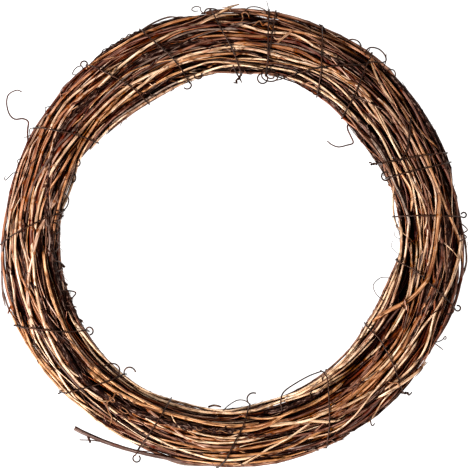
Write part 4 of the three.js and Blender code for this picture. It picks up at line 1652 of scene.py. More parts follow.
@dataclass
class Litter(Layer):
    """What stands up from the bark everywhere: torn flakes, and hairs as fine as thread.

    Attributes:
        shaggy: The old shoots, whose bark hangs in tatters.
    """

    shaggy: list[Rod]
    flakes: int = 220
    tatters: int = 420
    hairs: int = 260

    FACING = (-35, 215)
    STEPS, HAIR_STEPS = 7, 9
    FLAKE_MM = (4.0, 13.0)
    FLAKE_HALF_WIDTH = (0.3, 0.75)
    FLAKE_FLAT = 0.35
    FLAKE_SLANT, FLAKE_CURL = 0.25, 0.2
    FLAKE_COATS = (Bark.PEELED, Bark.ORANGE, Bark.BROWN, Bark.BROWN, Bark.GREY)
    TATTER_MM = (2.0, 6.0)
    TATTER_HALF_WIDTH = (0.25, 0.55)
    TATTER_ASIDE, TATTER_TWIST = 0.14, 0.1
    RISE = (0.3, 1.8)
    WIDTHS = ((0, 0.2, 0.8, 1), (0.4, 1, 0.9, 0.25))
    STRIP_TONE = (0.15, 0.75)
    TATTER_COATS = (Bark.OLD, Bark.OLD, Bark.BROWN, Bark.GREY)
    HAIR_MM = (3.0, 9.0)
    HAIR_RADIUS = 0.13
    """Real hairs are half as thick, which the picture would lose."""
    HAIR_COATS = (Bark.BROWN, Bark.OLD)
    HAIR_SLANT, HAIR_CURL = 0.9, 0.8
    HAIR_RISE = (0.05, 0.5)

    def build(self, dressing: Dressing) -> None:
        """Builds all of it, one piece for each coat.

        Args:
            dressing: What it is dressed with.
        """
        meshes = {bark: StrandMesh("litter_" + bark.value, dressing.skin) for bark in dressing.barks}
        for count, coats, shape, turned in (
            (self.flakes, self.FLAKE_COATS, self._flake, True),
            (self.tatters, self.TATTER_COATS, self._tatter, True),
            (self.hairs, self.HAIR_COATS, self._hair, False),
        ):
            for _ in range(count):
                mesh = meshes[coats[self.rng.integers(len(coats))]]
                mesh.add(shape(), float(self.rng.uniform(0, TURN)) if turned else 0.0)
        for bark, mesh in meshes.items():
            mesh.finish([dressing.barks[bark]], bark.value)

    def _way(self, steps: int, length: float, slant: float, curl: float) -> tuple[np.ndarray, np.ndarray]:
        """Draws where a bit lies.

        Args:
            steps: How many points it has.
            length: Its length in mm.
            slant: How steeply it may cross the canes, as mm across for each mm along.
            curl: How far it may wander sideways in mm.

        Returns:
            Its places on the grid, and the direction in the section at each.
        """
        share = np.linspace(0, 1, steps)
        facing = math.radians(self.rng.uniform(*self.FACING))
        place = self.rng.uniform(0, GRID) + share * length * PLACES_PER_MM
        slope = self.rng.uniform(-slant, slant)
        wave = np.sin(share * self.rng.uniform(2, 7) + self.rng.uniform(0, 6))
        return place, facing + (slope * share * length + curl * wave) / 15

    def _line(self, place: np.ndarray, facing: np.ndarray, reach: np.ndarray) -> np.ndarray:
        """Gives points at distances from the bundle's middle line, in directions of its section."""
        up = np.maximum(MIDDLE_UP + reach * np.sin(facing), FLOOR_GAP)
        return ring_point(place, middle_out(place) + reach * np.cos(facing), up)

    def _flake(self) -> Strand:
        """Shapes a strip of torn bark that lies along a cane."""
        length = self.rng.uniform(*self.FLAKE_MM)
        place, facing = self._way(self.STEPS, length, self.FLAKE_SLANT, self.FLAKE_CURL)
        return self._strip(place, facing, self.rng.uniform(*self.FLAKE_HALF_WIDTH))

    def _tatter(self) -> Strand:
        """Shapes a short strip of bark that hangs on an old shoot."""
        rod = self.shaggy[self.rng.integers(len(self.shaggy))]
        length = self.rng.uniform(*self.TATTER_MM)
        last = len(rod.out) - 1
        to_middle = np.linspace(-0.5, 0.5, self.STEPS) * length * PLACES_PER_MM
        at = self.rng.uniform(0.05, 0.95) * last + to_middle
        away = rod.outwards(np.clip(at, 0, last))
        place = rod.first + at
        flat = np.interp(at, np.arange(last + 1), rod.out) - middle_out(place)
        aside = self.rng.uniform(-self.TATTER_ASIDE, self.TATTER_ASIDE)
        twist = self.rng.uniform(-self.TATTER_TWIST, self.TATTER_TWIST)
        facing = np.arctan2(away[:, 2], flat) + aside + np.linspace(0, 1, self.STEPS) * twist
        return self._strip(place, facing, self.rng.uniform(*self.TATTER_HALF_WIDTH))

    def _strip(self, place: np.ndarray, facing: np.ndarray, half: float) -> Strand:
        """Lays a strip of bark on the bundle, with one end lifted.

        Args:
            place: Its places on the grid.
            facing: The direction in the section at each.
            half: Half its width in mm.

        Returns:
            The strip.
        """
        reach = widest(self.bundle.reach(place, facing, half * self.FLAKE_FLAT), 1)
        share = np.linspace(0, 1, self.STEPS)
        reach = reach + self.rng.uniform(*self.RISE) * share**3
        line = self._line(place, facing, reach)
        if self.rng.random() < 0.5:
            line = line[::-1]
        width = half * np.interp(share, *self.WIDTHS)
        outwards = line - ring_point(place, middle_out(place), MIDDLE_UP)
        tone = float(self.rng.uniform(*self.STRIP_TONE))
        return Strand(line, width, tone, 4, outwards, flat=self.FLAKE_FLAT)

    def _hair(self) -> Strand:
        """Shapes a hair that springs out of the bundle and curls."""
        length = self.rng.uniform(*self.HAIR_MM)
        place, facing = self._way(self.HAIR_STEPS, length * 0.8, self.HAIR_SLANT, self.HAIR_CURL)
        share = np.linspace(0, 1, self.HAIR_STEPS)
        rise = length * self.rng.uniform(*self.HAIR_RISE)
        bow = np.sin(share * self.rng.uniform(1.6, 3.1))
        reach = blur(self.bundle.reach(place, facing, 0.2), 2) - 0.5 + rise * bow
        return Strand(self._line(place, facing, reach), self.HAIR_RADIUS * (1.2 - 0.6 * share), 0.4, 3)


@dataclass(frozen=True)
class Studio:
    """A white table under large soft lamps, seen from straight above through a long lens.

    Attributes:
        centre: The point in mm that the picture's middle shows.
        view_mm: Width of what the picture shows at that point.
        distance: From there to the camera, in metres.
        sensor_mm: Width of the camera's sensor.
    """

    centre: tuple[float, float, float] = (1.33, 2.65, 14.0)
    view_mm: float = 311.6
    distance: float = 1.5
    sensor_mm: float = 36.0

    LAMPS = (("key_lamp", (-0.95, -0.6, 0.95), 0.3, 26.0), ("fill_lamp", (0.8, 0.5, 1.3), 1.0, 4.0))
    """Each lamp's name, place in metres, side in metres and power in watts."""
    SKY = 0.32
    TABLE, TABLE_GLOW = "8C8C8C", 0.92
    """Its colour and how much it glows: white in all, and no brighter, so thin wire on it stays dark."""
    TABLE_DROP = 0.0005

    def build(self) -> None:
        """Makes the camera, the lamps, the sky and the floor."""
        scene = bpy.context.scene
        scene.view_settings.view_transform = "Standard"
        scene.view_settings.look = "Medium High Contrast"
        camera_data = bpy.data.cameras.new("camera")
        camera_data.sensor_width = self.sensor_mm
        camera_data.lens = self.sensor_mm * self.distance / (self.view_mm * MM)
        camera = bpy.data.objects.new("camera", camera_data)
        x, y, z = (v * MM for v in self.centre)
        camera.location = (x, y, z + self.distance)
        scene.collection.objects.link(camera)
        scene.camera = camera
        for name, place, size, power in self.LAMPS:
            self._lamp(name, Vector(place), size, power)
        world = bpy.data.worlds.new("studio")
        world.use_nodes = True
        sky = world.node_tree.nodes["Background"].inputs
        sky["Color"].default_value = (1, 1, 1, 1)
        sky["Strength"].default_value = self.SKY
        scene.world = world
        self._floor()

    @staticmethod
    def _lamp(name: str, place: Vector, size: float, power: float) -> None:
        """Adds a square lamp that faces the wreath.

        Args:
            name: Its name.
            place: Where it is, in metres.
            size: Its side in metres.
            power: In watts.
        """
        data = bpy.data.lights.new(name, "AREA")
        data.size = size
        data.energy = power
        lamp = bpy.data.objects.new(name, data)
        lamp.location = place
        lamp.rotation_euler = (-place).to_track_quat("-Z", "Y").to_euler()
        bpy.context.scene.collection.objects.link(lamp)

    def _floor(self) -> None:
        """Lays the table."""
        bm = bmesh.new()
        bmesh.ops.create_grid(bm, x_segments=1, y_segments=1, size=2.0)
        mesh = bpy.data.meshes.new("table")
        bm.to_mesh(mesh)
        bm.free()
        table = bpy.data.objects.new("table", mesh)
        table.location.z = -self.TABLE_DROP
        bpy.context.scene.collection.objects.link(table)
        paper = bpy.data.materials.new("white_table")
        paper.use_nodes = True
        inputs = paper.node_tree.nodes["Principled BSDF"].inputs
        inputs["Base Color"].default_value = linear(self.TABLE)
        inputs["Roughness"].default_value = 0.9
        inputs["Emission Color"].default_value = (1, 1, 1, 1)
        inputs["Emission Strength"].default_value = self.TABLE_GLOW
        mesh.materials.append(paper)


OLD_CANE_ROUTES = {
    Bark.OLD: """
  2.3 .3: 190 132.6,193 133,201 132.4,209.5 131.8,216 133,223 134.2,230 132.8,236 130.8,245 128.6,
    256 126.8,267.6 125.8,276 125.4
  2.4 .3: 130 130.5,135 130.8,140 131.3,148 133,152 132,158 129.5,165 126,171 123.4,178 121
  2.1 .3: 86 129.4,93 129.6,100 130.8,107 132,113 132.4,120 131.4
  2.1 .3: 338 134.6,343 136.6,348 137.6,354 137.2,360 136.4,366 136
  2 .3: 340 139.6,345 142,350 143,356 142,362 140.8,368 140.6
  1.9 .3: 326 133.4,331 133.6,337 133.2,343 132.6,349 131.6
  1.9 .3: 174 136.6,181 137.2,187 138,193 138.6,199 137.6
  2.1 .3: 176 119.5,184 119.4,192 118.6,200 117.4,208 117.6,216 118
  1.7 .3: 196 115,204 114.8,212 116
    """,
}
"""Routes of the thick old canes on the front: half thickness in mm, lightness, then angle and radius."""

FRONT_ROUTES = {
    Bark.PEELED: """
  1.3 .7: 350 128,360 131,365 132.7,370 135.3,375 136.5,380 135,386 134,393 133.5,400 133,406 132
  1.1 .9: 1.5 124,4 127,7 128,12 126.3,16 124.3,20 122.6,24 121
  1.1 1: 355 124,360 123,366 122,372 122,377 123,381 122.5,387 122,393 122.5,398 123.5,402 125.5,407 128,
    412 129
  0.9 1: 28 121.5,33 123,38 125,42 127,46 128.5,50 130
  0.8 1: 358 121,360 117,361 114,362.5 111,364 108.5,367 107.6,371 108,375 109.5,380 112
  1.1 1: 17 115,22 116,28 116.5,34 118,40 118.5,46 118.5
  1.2 1: 38 137.5,42 137.8,45 139,47.5 140.8,50 143.5,52 147,53.5 150.5
  1.6 .8: 58 138,62 137,67 137,71 139,74 140,77 138.5,81 137,85 139,90 141.5,95 143.5
  1.3 .8: 40 124,45 126,50 129.5,55 129,60 127,66 125,72 123.5,78 124,83 125,87 125.5,92 124.5
  1 1: 40 117,45 118,50 120,55 121.5,60 122.5,66 122,72 120.5,78 120,84 119,92 118
  1.1 1: 42 113,46 113.5,52 114.5,58 115.5,64 116.5,70 117,76 116,82 115.5,90 115.5,97 117.5,102 116,
    108 115
  1.5 .9: 88.6 155.2,91 152,94 148.2,97 144.8,100 142.5,105 141.3,110 139.5,115 138,120 136,124 135,
    128 133.5,133 133
  1.2 .8: 88 148,93 147,96 145.5,99 142.5,101 140.5
  1.3 .7: 122 137,125 137.5,130 138.5,135 140,140 141.5,145 141,150 139.5
  1.6 .9: 84 127,90 126.3,95 125,100 124,105 123.5,110 122,115 119.5,120 117.5,126 116.5,135 116
  1.6 .8: 108 120.5,112 120.3,118 121,124 121.5,130 121.5,138 121.5,147 122.5,155 125,160 127,166 128.4,
    171.4 129.1,178.5 129.7
  1.2 1: 80 114,88 114.5,95 113.5,100 111.5,104 110,110 109.5
  1.3 .4: 146 148,153 147,158 147.5,163 148,168 147.5,175 148.5
  1.1 .3: 152 144,156 145.5,160 143,165 144,170 146,175 147.5,180 149
  1.2 .5: 132 135.5,140 136.5,145 136,150 135,154 132.5,157 131.3,162 132.5,168 133,174 132.5,180 131.5
  1.1 .6: 150 127.5,157 129,160 131,165 133,170 133.5,175 132.5,179 131.5
  1.1 .8: 138 113.5,147 114,153 113.5,160 112.5,166 113,172 115
  1.3 .9: 172 142,180 142.5,185 143,192 142.5,198 142,203 142,208 143,214 143.5,219 145,226 147,232 147.5
  1.3 .5: 172 139.5,176 140,180 138.7,184 136.3,187 135.3,191 136.3,195 139,199 141,204 141.8
  1.1 .6: 176 144.5,180 145.5,186 147.5,192 148,198 149.5,203 150
  1 .9: 204 139,208 139.5,213 139,217 138,220 136.5,224 134
  0.9 1: 203 118.5,212 118,220 119,226 118.5,236 118.3,245 118
  1.1 1: 222 149,230 148.5,235 149,242 149,248 148
  0.9 1: 219 148.5,225 148,230 145.5,234 145,237 144.5
  1 1: 221 138.5,225 138,230 137.5,232.5 135.5,233.5 131,234.5 128
  1.3 1: 231 137,234 137,240 137.5,246 139.5,252 141,258 143,263 144.5,269 145,276 143
  1.2 1: 242 130,244 130.5,249 131.5,254 133,260 134.5,266 134,272 133,279 131.5
  1.1 1: 250 119,251.5 125,253 128,258 129,264 130,270 130.5,276 130
  1.4 1: 236 117,245 116.5,252 116,260 115.5,270 114.5,277 113.5,283 112,290 111,297 110,304 109,312 109,
    320 110
  1.1 1: 270 149.5,272 148,276 143.5,279 139.5,283 137,287 134.5,290 132,294 130.5
  1.6 1: 280 124,281.5 124.8,286 125.8,290 128,293 129,297 128.3,300 129.5,304 132,309 133.5,314 136
  1.1 1: 286 111.5,290 112,297 113,303 114.5,308 116,315 117.5,322 118
  1 1: 296 115,300 114,305 113,311 115,316 115.5
  1 .8: 288 138.5,293 140.5,298 143,302 142,307 139,312 136,318 135.3
  0.9 .9: 306 151,308 149,311 146,313 144.5,318 144.5,322 145.5
  1.3 .9: 315 140,318 141,322 143.5,326 145,330 145.2,333 144,336 142,340 140.5,345 143.5,350 147,
    355 149.5,361 151
  1.4 .9: 316 137,320 137,326 137.5,332 138.3
  1.3 .8: 312 136,315 135.5,322 135,330 135.5,335 137,338 139,342 141.5,348 145,356 148.5,361 149.5
  1.4 .9: 311 126,315 127.5,321 129.5,328 130,334 130
  1.2 .9: 320 118.5,325 119,332 119.8,338 120.5,345 120,352 118.5,360 117
  1.1 1: 329 120.5,333 121,340 122,347 121,353 121.5,361 120.5
  1.4 .7: 308 109.5,315 110,322 110.5,330 112,336 112.5,342 112,350 113,356 114,362 114.8,366 116
  1.2 .9: 320 106.5,325 107,332 108,340 108.5,348 109.5,355 110.5,361 111,367 110.5
  1.1 .8: 343 124.5,346 124.5,351 124,356 126,361 127.5,366 129
  0.7 1: 355 150,356 147,357.5 142.5,359 138,361 132
  1 .9: 296 111,305 111.5,312 112,320 112.5,326 114
  1.1 1: 264 114,271 112.6,279 110.4,286 109.4,293 109,300 108.2,307 107.6,314 107.4,320 108
  1.2 .9: 314 106.8,322 106,328 105,334 105.6,340 106.5,346 107.8,352 110
  1.1 .7: 100 109.4,107 107.8,114 106.8,120 106.4,127 106.8,134 108.4,141 109.8,148 111.2
  1.2 1: 207 117.6,214 116.2,222 115.6,230 115.4,238 115.4,246 114.5,252 113.8,261 113.2,270 112.8
  1.6 .8: 179 131.6,187 131.7,197 133.8,206.6 136.1,215 138.2,224 138.3,233 134.7
  1.4 1: 46 112,50 112.9,55 113.2,60 113.4,66 113.1,72 112.6
    """,
    Bark.ORANGE: """
  1.6 .9: 350 154,355 152,360 148.5,365 143.5,370 140,375 138,380 137,387 136.8,393 138.5,399 140.5,
    405 143,410 145
  1.3 .9: 9 118,12 120.5,16 121,20 119,25 117,29 116
  0.9 1: 23.5 148,26 145,29 142.3,33 141.3,38 143.5,44 145,50 146.5
  1.6 .7: 55 129,60 129,65 129,70 130.5,76 129.5,82 128.5,92 128
  1.6 1: 44 128,50 130.5,55 127.5,61 128.5
  1.4 .8: 38 144,45 145,50 146.5,56 145.5,62 144.5,68 143.5,73 142,78 141.5,83 143
  1.4 .7: 50 149,55 149,62 148,68 146.5,73 147,78 148,86 149
  1.3 .8: 79 134.5,82 134,86 133.5,92 133.5,100 134
  1.3 .8: 98 148.5,105 148,110 147.5,115 147.8,120 147,125 147.5,132 148.5
  1.5 .8: 86 122,90 122,96 121.5,102 121.8,108 121,113 119.8,119 118.6
  1.4 1: 96 118,100 117,105 115.5,110 115,116 114,122 113.5,128 115,135 116.5,142 117.3
  1.6 .5: 128 143,135 144,140 145.5,146 145,152 143,157 141,161 139.5,165 139.5,172 140,180 139.5
  1.4 .7: 150 119.5,155 120,160 121.5,165 124.5,170 126.5,176 127.5
  1.3 .4: 137 137,141 138,147 138.5,155 137.5,162 136,168 137,175 138.5
  1.4 .8: 128 119,135 118.5,142 117.5,150 117,158 116,165 116,172 116.5,179 118
  1.3 1: 198 154,205 153,210 152.5,216 152,221 151,227 150
  1.8 1: 182 124.5,190 124.5,197 124.5,205 124.5,212 125.5,226 125,233 122.5
  1.3 1: 203 151,210 149,216 147,222 145.5,229 144.5
  1.2 .9: 199 148,204 149,210 150.5,218 148.5,226 148.5
  2 1: 221 128,225 127.5,231 126.5,238 124.5,244 123,250 122,256 121.5,262 121.8,270 122.5,278 122
  1.3 1: 221 124,225 123.5,232 122.5,240 121.5,249 121
  1.3 .9: 246 140.5,250 139.5,256 138,262 138.5,270 138,276 137,282 136,288 134
  1.3 1: 262 142.8,270 142,276 141.5,283 142,287 140.5,292 138.5,297 139
  1.8 1: 268 126.5,272 126,277 125.5,281 124,284 121.5,287 119.5,295 120,302 119.5,309 118.5
  1.7 .9: 291 127.5,295 128.5,302 129.5,308 129,315 128.5,321 127.5
  1.2 1: 272 116.5,275 117.5,280 120,286 120.5,291 119
  1.9 .8: 307 131.5,315 131,322 131.5,328 132.5,333.5 131
  1.3 .7: 309 124.5,315 125,322 126,330 126.5,336 126,343 125
  1.2 1: 254 149.5,262 148,270 147.5,278 147,285 148.5
    """,
    Bark.BROWN: """
  1.7 .8: 45 150.8,52 151,62 151,72 150.8,80 150.4,90 150.6,98 150.2
  1.4 .8: 74 112.6,79 111.4,85 110.2,92 110.4,99 111.4
  1.4 .5: 132 111.6,138 112.4,144 112.6,150 113
  1.5 .5: 326 147.6,333 148.8,340 149.6,347 149.8,354 149.4
  1.4 .8: 240 147.8,246 149.2,252 150.6,258 150.4,264 149.6
  1.4 .8: 205 115.6,212 115,219 115.6,226 116.4
  1.2 .7: 355 127.5,360 127.5,365 129,370 129.8,376 129.7,382 129,388 128,396 127,402 126
  1.2 .9: 22 112,28 111,33 110,40 109,45 110.5,51 112
  1.5 .5: 0 146,5 148.5,10 149,14 148,17 147.3,22 145,28 144,35 146,43 148
  1.2 .7: 22 130,27 130,33 130,38 132,46 132.5,54 131.5
  1.4 .8: 40 142,46 141.5,53 142,60 141,66 140.5,72 143,80 146
  1.3 .6: 84 131,92 132,100 130,106 127.5,114 126,122 125,130 124.5,138 124.7,146 126
  1.4 .4: 84 146,90 144.5,96 142,102 144,110 145,118 144,126 143.5,134 143
  1.3 .3: 128 148.5,136 149.5,144 148.5,152 149.5,160 149,168 149.8,176 150
  1.3 .8: 236 131.5,240 133,246 135,252 136,258 136,266 136.5,274 135.5
  1.5 .8: 264 149,270 149.5,278 149.3,286 149.2,294 148.5,301 149
  1.3 .5: 286 144,292 145,299 146,306 147,313 147.5,320 147
  1.4 .6: 286 123.5,294 124,301 125,308 124,316 122.5,324 122.8
  1.3 .5: 334 134.5,341 135,348 136,355 137.5,362 137
  1.2 .6: 336 131,343 129,350 129.5,358 130.5,365 128.5
  1.3 .7: 312 108.5,320 108,328 107.5,336 107.2,343 107.8,350 110,356 111
  1.2 .7: 314 107.6,320 105.8,327 104.6,334 104.7,341 105.2,347 106.8,352 109.2,356 111
  1.3 .7: 322 109.5,329 109.8,336 109.8,343 110.3,350 111.8
  1.3 .9: 274 112.6,281 112.4,288 112,296 111.4,304 110.2,310 109.6
  1.2 .5: 124 110.6,131 111.2,138 112.2
  1 .8: 282 110.4,290 109.4,298 108.4,306 107.4,313 106.2,320 105,326 104.2
  0.9 .7: 104 108.6,112 106.8,119 105.8,126 106,133 107.2,140 109
  1 .8: 288 112.6,296 111.6,304 110.6,312 109.6,320 109.4,328 109.8
  1.2 .9: 227 143.5,234 142.5,241 143,248 144.5,256 146,264 146.5
    """,
    Bark.GREY: """
  1.4 1: 357 113.5,360 114.5,363 116,365 116.8,369 115.5,374 114,378 112.5,383 112,389 112.5,396 112.3
  1.3 .8: 98 127,102 128,107 129,112 129.5,118 129,123 127.5,128 126,136 125
  1.1 1: 105 110.5,112 109.3,120 108.3,126 108.5,130 109,137 110.5
  1 .3: 177 149,180 150.5,183 152.8,190 155.5,196.5 157.8
  0.9 .3: 193 156,198 155.3,201 152,204 149,208 146
  1.2 .5: 165 121,172 121.5,176 121,180 120,186 121.5
  1.2 .8: 86 138,90 137.5,95 138,100 139,104 138.5,109 136.5
  1 .9: 57 135.5,64 135,70 134.5,75 136
  1.1 .8: 249 149.5,251 151,254 152.5,257 153,260 152,264.5 150.5,269 149.5
  1 .5: 341 149,345 150,350 153,354 156,357 154.7,361 153,365 150.5
    """,
    Bark.OLD: """
  1.9 .3: 110 109.4,116 108.4,122 107.8,128 108,134 109.2,140 110.4
  2 .3: 258 115.6,264 114.6,270 113.4,276 112.2,282 111.2,288 110.8
  1.9 .3: 130 109.6,136 110.4,142 111.4,148 112.8,154 114.6
  1.9 .3: 322 107,329 106.2,336 106.3,343 107.2,350 109.4,356 112
  2.1 .2: 14 149,20 150.2,28 150.4,36 150.6,44 151,50 150
  1.5 .3: 17 147.4,24 148,31 148.6,38 148.4,45 148
  1.6 .3: 101 149.4,108 149.8,115 150,122 149.6,129 149.2
  1.8 .2: 15 146,18 146,22 144.8,27 146,33 147,39 147.8,46 148,53 148.3,59 147.5
  1.5 .2: 1 149.8,6 149,12 148,18 147.8,26 148,34 148.6,42 149.2,50 149.6,56 149.8
  1.6 .3: 84 148,92 148.3,100 148,108 147.5,116 147.8
  1.6 .4: 270 114.8,278 114.6,286 114.2,294 113.6,302 112.8,309 112
  1.6 .4: 20 113.6,27 114.4,34 114.3,41 114.3,47 115
  1.5 .4: 350 113.2,357 112.4,364 112.2,371 111.8,378 113
  1.5 .3: 288 147,294 146.5,300 147.5,306 149,313 149.5,319 149.5,325 149
  1.5 .3: 180 118.5,188 119,196 118.5,204 119.5
  1.6 .4: 74 148.2,80 148.7,86 148.7,92 148.2
  1.9 .3: 176 148.6,184 149.6,192 150.4,200 150,208 148.6
  1.9 .3: 322 145.5,330 147,338 148.2,346 148,354 147
  1.9 .3: 296 112,304 111.4,312 110,320 109.2,328 109,336 109.6,344 111.4,352 114
  1.7 .3: 318 107,325 106,332 106.2,339 107.4,346 109
  1.8 .3: 30 148.6,45 149,60 149,75 148.6,90 148.6
  2.2 .3: 294 114.6,304 113.6,312 112.8,320 112.2,328 112,336 112.6,344 114
  2.2 .3: 280 117,288 116.5,296 115.6,304 114.8
  2.2 .3: 102 115.8,110 114.6,116 113,122 111.6,128 111.6,134 112,140 112.8,148 114.4
  1.3 .3: 45 135,52 136,59 136,66 134.5
  1.4 .3: 255 127,262 127,269 127,276 128
    """,
}
"""Routes of the thin shoots that the eye picks out on the front, written the same way."""

OVER_WIRE_ROUTES = {
    Bark.PEELED: """
  1.8 .9: 312 140.4,316 143,320 146,324 149,327.5 150.5
  1.5 1: 291 127,293.5 130,296 133,299.5 137,302 138.8
    """,
    Bark.ORANGE: """
  2.1 .8: 329.5 106.2,331.5 107.6,335.5 112.5,338 117,341 122.5,345 127,348 130,354 132,361 133.4,368 136,
    374 139
    """,
}
"""The same for shoots that lie over the wire."""

SCRAP_ROUTES = {
    WIRE_SLOT: """
  .57: 34.5 142,33 138.5,30 133,27 127.5,25.3 122,24.6 119
  .57: 51 149.5,52 147,54 141,57 136,60 130.5,63 126,66 121,69 116.5,71.5 113,73 110.5,75 108.5,76.5 107
  .53: 90 114,88.6 109,87.4 105.6,86.8 103.4
  .50: 75 113,74.6 109.5,76 107.2,78.4 106.8,80 109,79.6 112.4,77.6 114.6,75.8 113.4
  .47: 76 111.6,75.9 109.4,77.3 108.6,78.6 109.8,78.3 111.8,77 112.8
  .47: 100.8 111,100.8 108.8,102 107.8,103.2 108.8,103.4 111
  .41: 105.8 109.4,106 107.6,107 107.4,107.4 109
  .50: 224.6 118.5,225.5 115,226.8 113,228.4 113,229.4 114.8,229.8 118
  .35: 97.2 149.5,98 152,98 154,98.8 155.4,99.8 155,100.2 153.6,99.6 152.4,98.6 152.2
  .50: 93.6 149.5,94 151,95 152.2,96.5 152.5,97.5 150
  .38: 131.5 149,131.2 151.4,132 153,133.3 153,134.2 151.6,133.6 149.5
  .35: 163 148.5,163.3 151,164.5 153,165.5 154.5,165.2 155.6,164.5 155.4
  .42: 152.6 114.5,153.4 112.3,154.6 112.2,155.2 114
  .42: 157.2 113.6,158.4 111.6,160 111.4,160.9 113.6
  .42: 164.6 115,166 112,168 111.3,169.8 112.4,170.4 115
  .40: 170.8 117.4,171 114.6,172.4 113.7,173.8 114.8,174 117.6
  .42: 174.8 118.2,175.2 115,176.6 114.2,178 115.2,178.3 118.4
  .42: 179.6 118,181 115.5,183 115.3,184.4 117.8
  .42: 187 118,187.5 115,188.8 114,190.2 115.2,190.4 118
  .47: 196.8 117.5,197.6 112.5,198.8 109.2,199.9 111.6,200.8 117
  .50: 54.8 149.8,54.4 154.6,52.6 157.2,50.6 156.8,49.4 154.4,49.8 151.6,51 149
  .35: 54.3 148.5,54.2 151.5,54.2 154
  .50: 55.8 149.4,56.6 152.6,57.8 154,59.2 153,60.4 149.6
  .50: 65.6 149.4,67 152,68.2 152.6
  .38: 81.4 149,82 151.5,84 153,86 152.4,87.2 149.4
  .35: 332.8 148.6,333.6 151,334.4 152.6,335.1 152.9,335.4 153.6,335 154.3,334.6 153.8,334.8 152.9
  .33: 332.7 148.4,332.4 153,332.2 156
  .42: 340.6 148.6,341 151.4,341.8 152.5,342.5 151.6,342.5 149
  .47: 307.6 147.5,307 150.5,306.7 152.4,306.9 153.4,307.7 153
  .42: 359.4 148.6,360.4 153.6,361.4 151.6,362.2 154.4,363.4 152,364.4 148.8
  .42: 44.6 148.6,45.4 152,46.4 153,47.2 151.6,47.6 149
  .35: 266.7 113,268.4 109.6,271.4 106.4,274 106.8,275.6 109.4,276 112.5
  .28: 337.6 107,339 101,341.5 97.3,344 98.6,345.6 101.4,346.2 107
    """,
    Bark.PEELED.value: """
  .5: 85.6 144,86 147.5,86.8 149,87.7 148,87.4 145,88 142
  .45: 79 139.5,80 141,81 143.5,82 141.5,83 144,84 142,85 139.5
  .85: 74.2 141.5,75.5 137.4,76.4 134.6,77.2 131.8
  .7: 76.2 135.4,77.8 134.2,78.6 135
  .3: 258.8 125.2,259.4 126.8,260.4 127,261 126,261.6 125.4,262.4 125.8,263 126.6,264 126.8
  .3: 265 126.6,266 125.8,267 126,267.8 126.8,268.8 127,269.6 126.2
  .42: 232.2 130.6,232.5 132.2,233.5 132.6,234 131.3,233 130.4,232 131.4
  .42: 235.8 132.4,236.6 134,238.2 134.2,239 132.8,238 131.8,236.4 131.8
  .45: 232.7 127,232.9 131,232.4 135,234 139,235.8 141.4,236.4 146
  .5: 317.4 138.6,318 141,318.8 143.4,318.2 146
  .45: 316.2 141.4,317.4 141.2,318.6 142.2
    """,
    Bark.GREY.value: """
  .4: 232.6 167,235 162.4,238 158.6,241.5 156,246 153,250 149.4
  .6: 113.4 150.4,111 151.6,108.4 152.4,106 152.3,104.4 151
    """,
    Bark.OLD.value: """
  .7: 261.6 111.8,263.5 110.3,266 110.8
  .3: 48.8 148.6,49 152,49.6 155,50.5 158
  .2: 78.8 147.6,79 150,79.3 152.4
  .2: 81 147.6,81 150,81.4 154,82 158
  .18: 0 110,1 106.6,3 106.2
  .18: 354.6 110,356.4 105.4,358 104.2,359.8 105.6
  .35: 114 149.6,115.4 151.2,116.2 150.2,117 151.6,118.2 150.4,119 151.4,120 150
  .35: 121 149.6,122 151,123 150.2,124.4 151.2,125.4 149.8
  .3: 150.4 149,151.6 152.4,153 150.6,154.2 153.4
  .3: 144 149,145 151.2,146 149.4
  .3: 159 148.8,160 151,161 149
    """,
}
"""Half thickness in mm of each bit, then its angle and radius."""

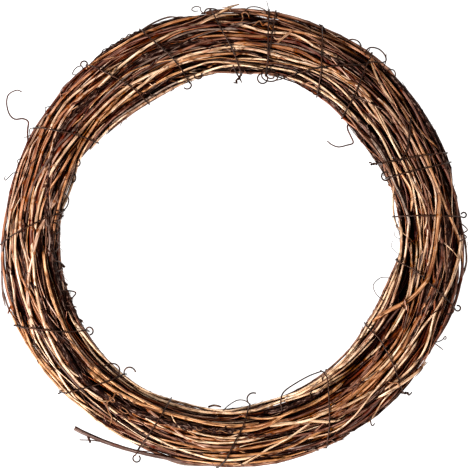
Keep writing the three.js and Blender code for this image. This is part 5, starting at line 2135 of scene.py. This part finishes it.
TENDRIL_ROUTES = """
  154.5 12: 152.2 153.5 19,150.2 155.7 21,150.2 159.7 22.5,151.2 164 24,150.8 168.5 26,149.2 173 28,
    147.3 175.2 29,145.5 172.4 29.5,145.1 169 29
  43.5 168: 44.8 107 18,43.4 104.6 19.5,41.2 103.3 20.5,38.7 101.6 21.5,39.4 97.6 22.5,41.1 92.3 23.5,
    43.6 90 24.5,46.1 89.5 25
"""
"""Where each tendril grows and which way the skin faces there, then angle, radius and height."""

OLD_CANES = {"slimness": 1.0, "stiffness": 9}
OLD_CANE_LIFT = -1.5
"""The thick old canes are sunk in by this many mm."""
FINE_SHOOTS = {"slanting": 0.06, "thickness_mm": (0.3, 0.65), "span": (70, 340), "stiffness": 5}
FINE_UNDER, FINE_OVER = 64, 42
"""How many fine shoots lie under and over those that the eye picks out."""


def main() -> None:
    """Builds the wreath, then its studio."""
    logging.basicConfig(level=logging.INFO, format="%(name)s %(message)s")
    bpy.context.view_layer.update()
    rng = np.random.default_rng(SEED)
    bundle = Bundle()
    canes = Canes(rng, bundle)
    canes.read()
    tendrils: dict[str, list[Strand]] = {}
    for (at, facing), points in read_routes(TENDRIL_ROUTES):
        route = TendrilRoute(at, facing, points)
        host, line = route.line(canes.rods)
        LOG.info("tendril on %s", host)
        tendrils.setdefault(host, []).append(route.strand(line))
    laid = Lining(rng, bundle).lay()
    laid += Shoots(rng, bundle).lay()
    fine = Shoots(rng, bundle, FINE_UNDER, **FINE_SHOOTS)
    laid += fine.lay()
    laid += FrontShoots(rng, bundle, **OLD_CANES).lay(OLD_CANE_ROUTES, OLD_CANE_LIFT)
    front = FrontShoots(rng, bundle)
    laid += front.lay(FRONT_ROUTES)
    fine.count = FINE_OVER
    laid += fine.lay()
    ties = Ties(bundle)
    ties.wind()
    laid += front.lay(OVER_WIRE_ROUTES, 2 * ties.radius)
    # The skin under which the bark is darkened as painted shade
    skin = SkinDepth(bundle)
    LOG.info("%d canes, %d shoots", len(canes.rods), len(laid))
    barks = {finish.bark: finish.build() for finish in BARKS}
    dressing = Dressing(barks, CUT_WOOD.build(), WIRE.build(), skin)
    canes.build(dressing, tendrils)
    canes.build_shoots(dressing, laid)
    ties.build(dressing)
    Scraps(bundle).build(dressing)
    Litter(rng, bundle, [rod for rod, bark, _ in laid if bark is Bark.OLD]).build(dressing)
    Studio().build()


if __name__ == "__main__":
    main()
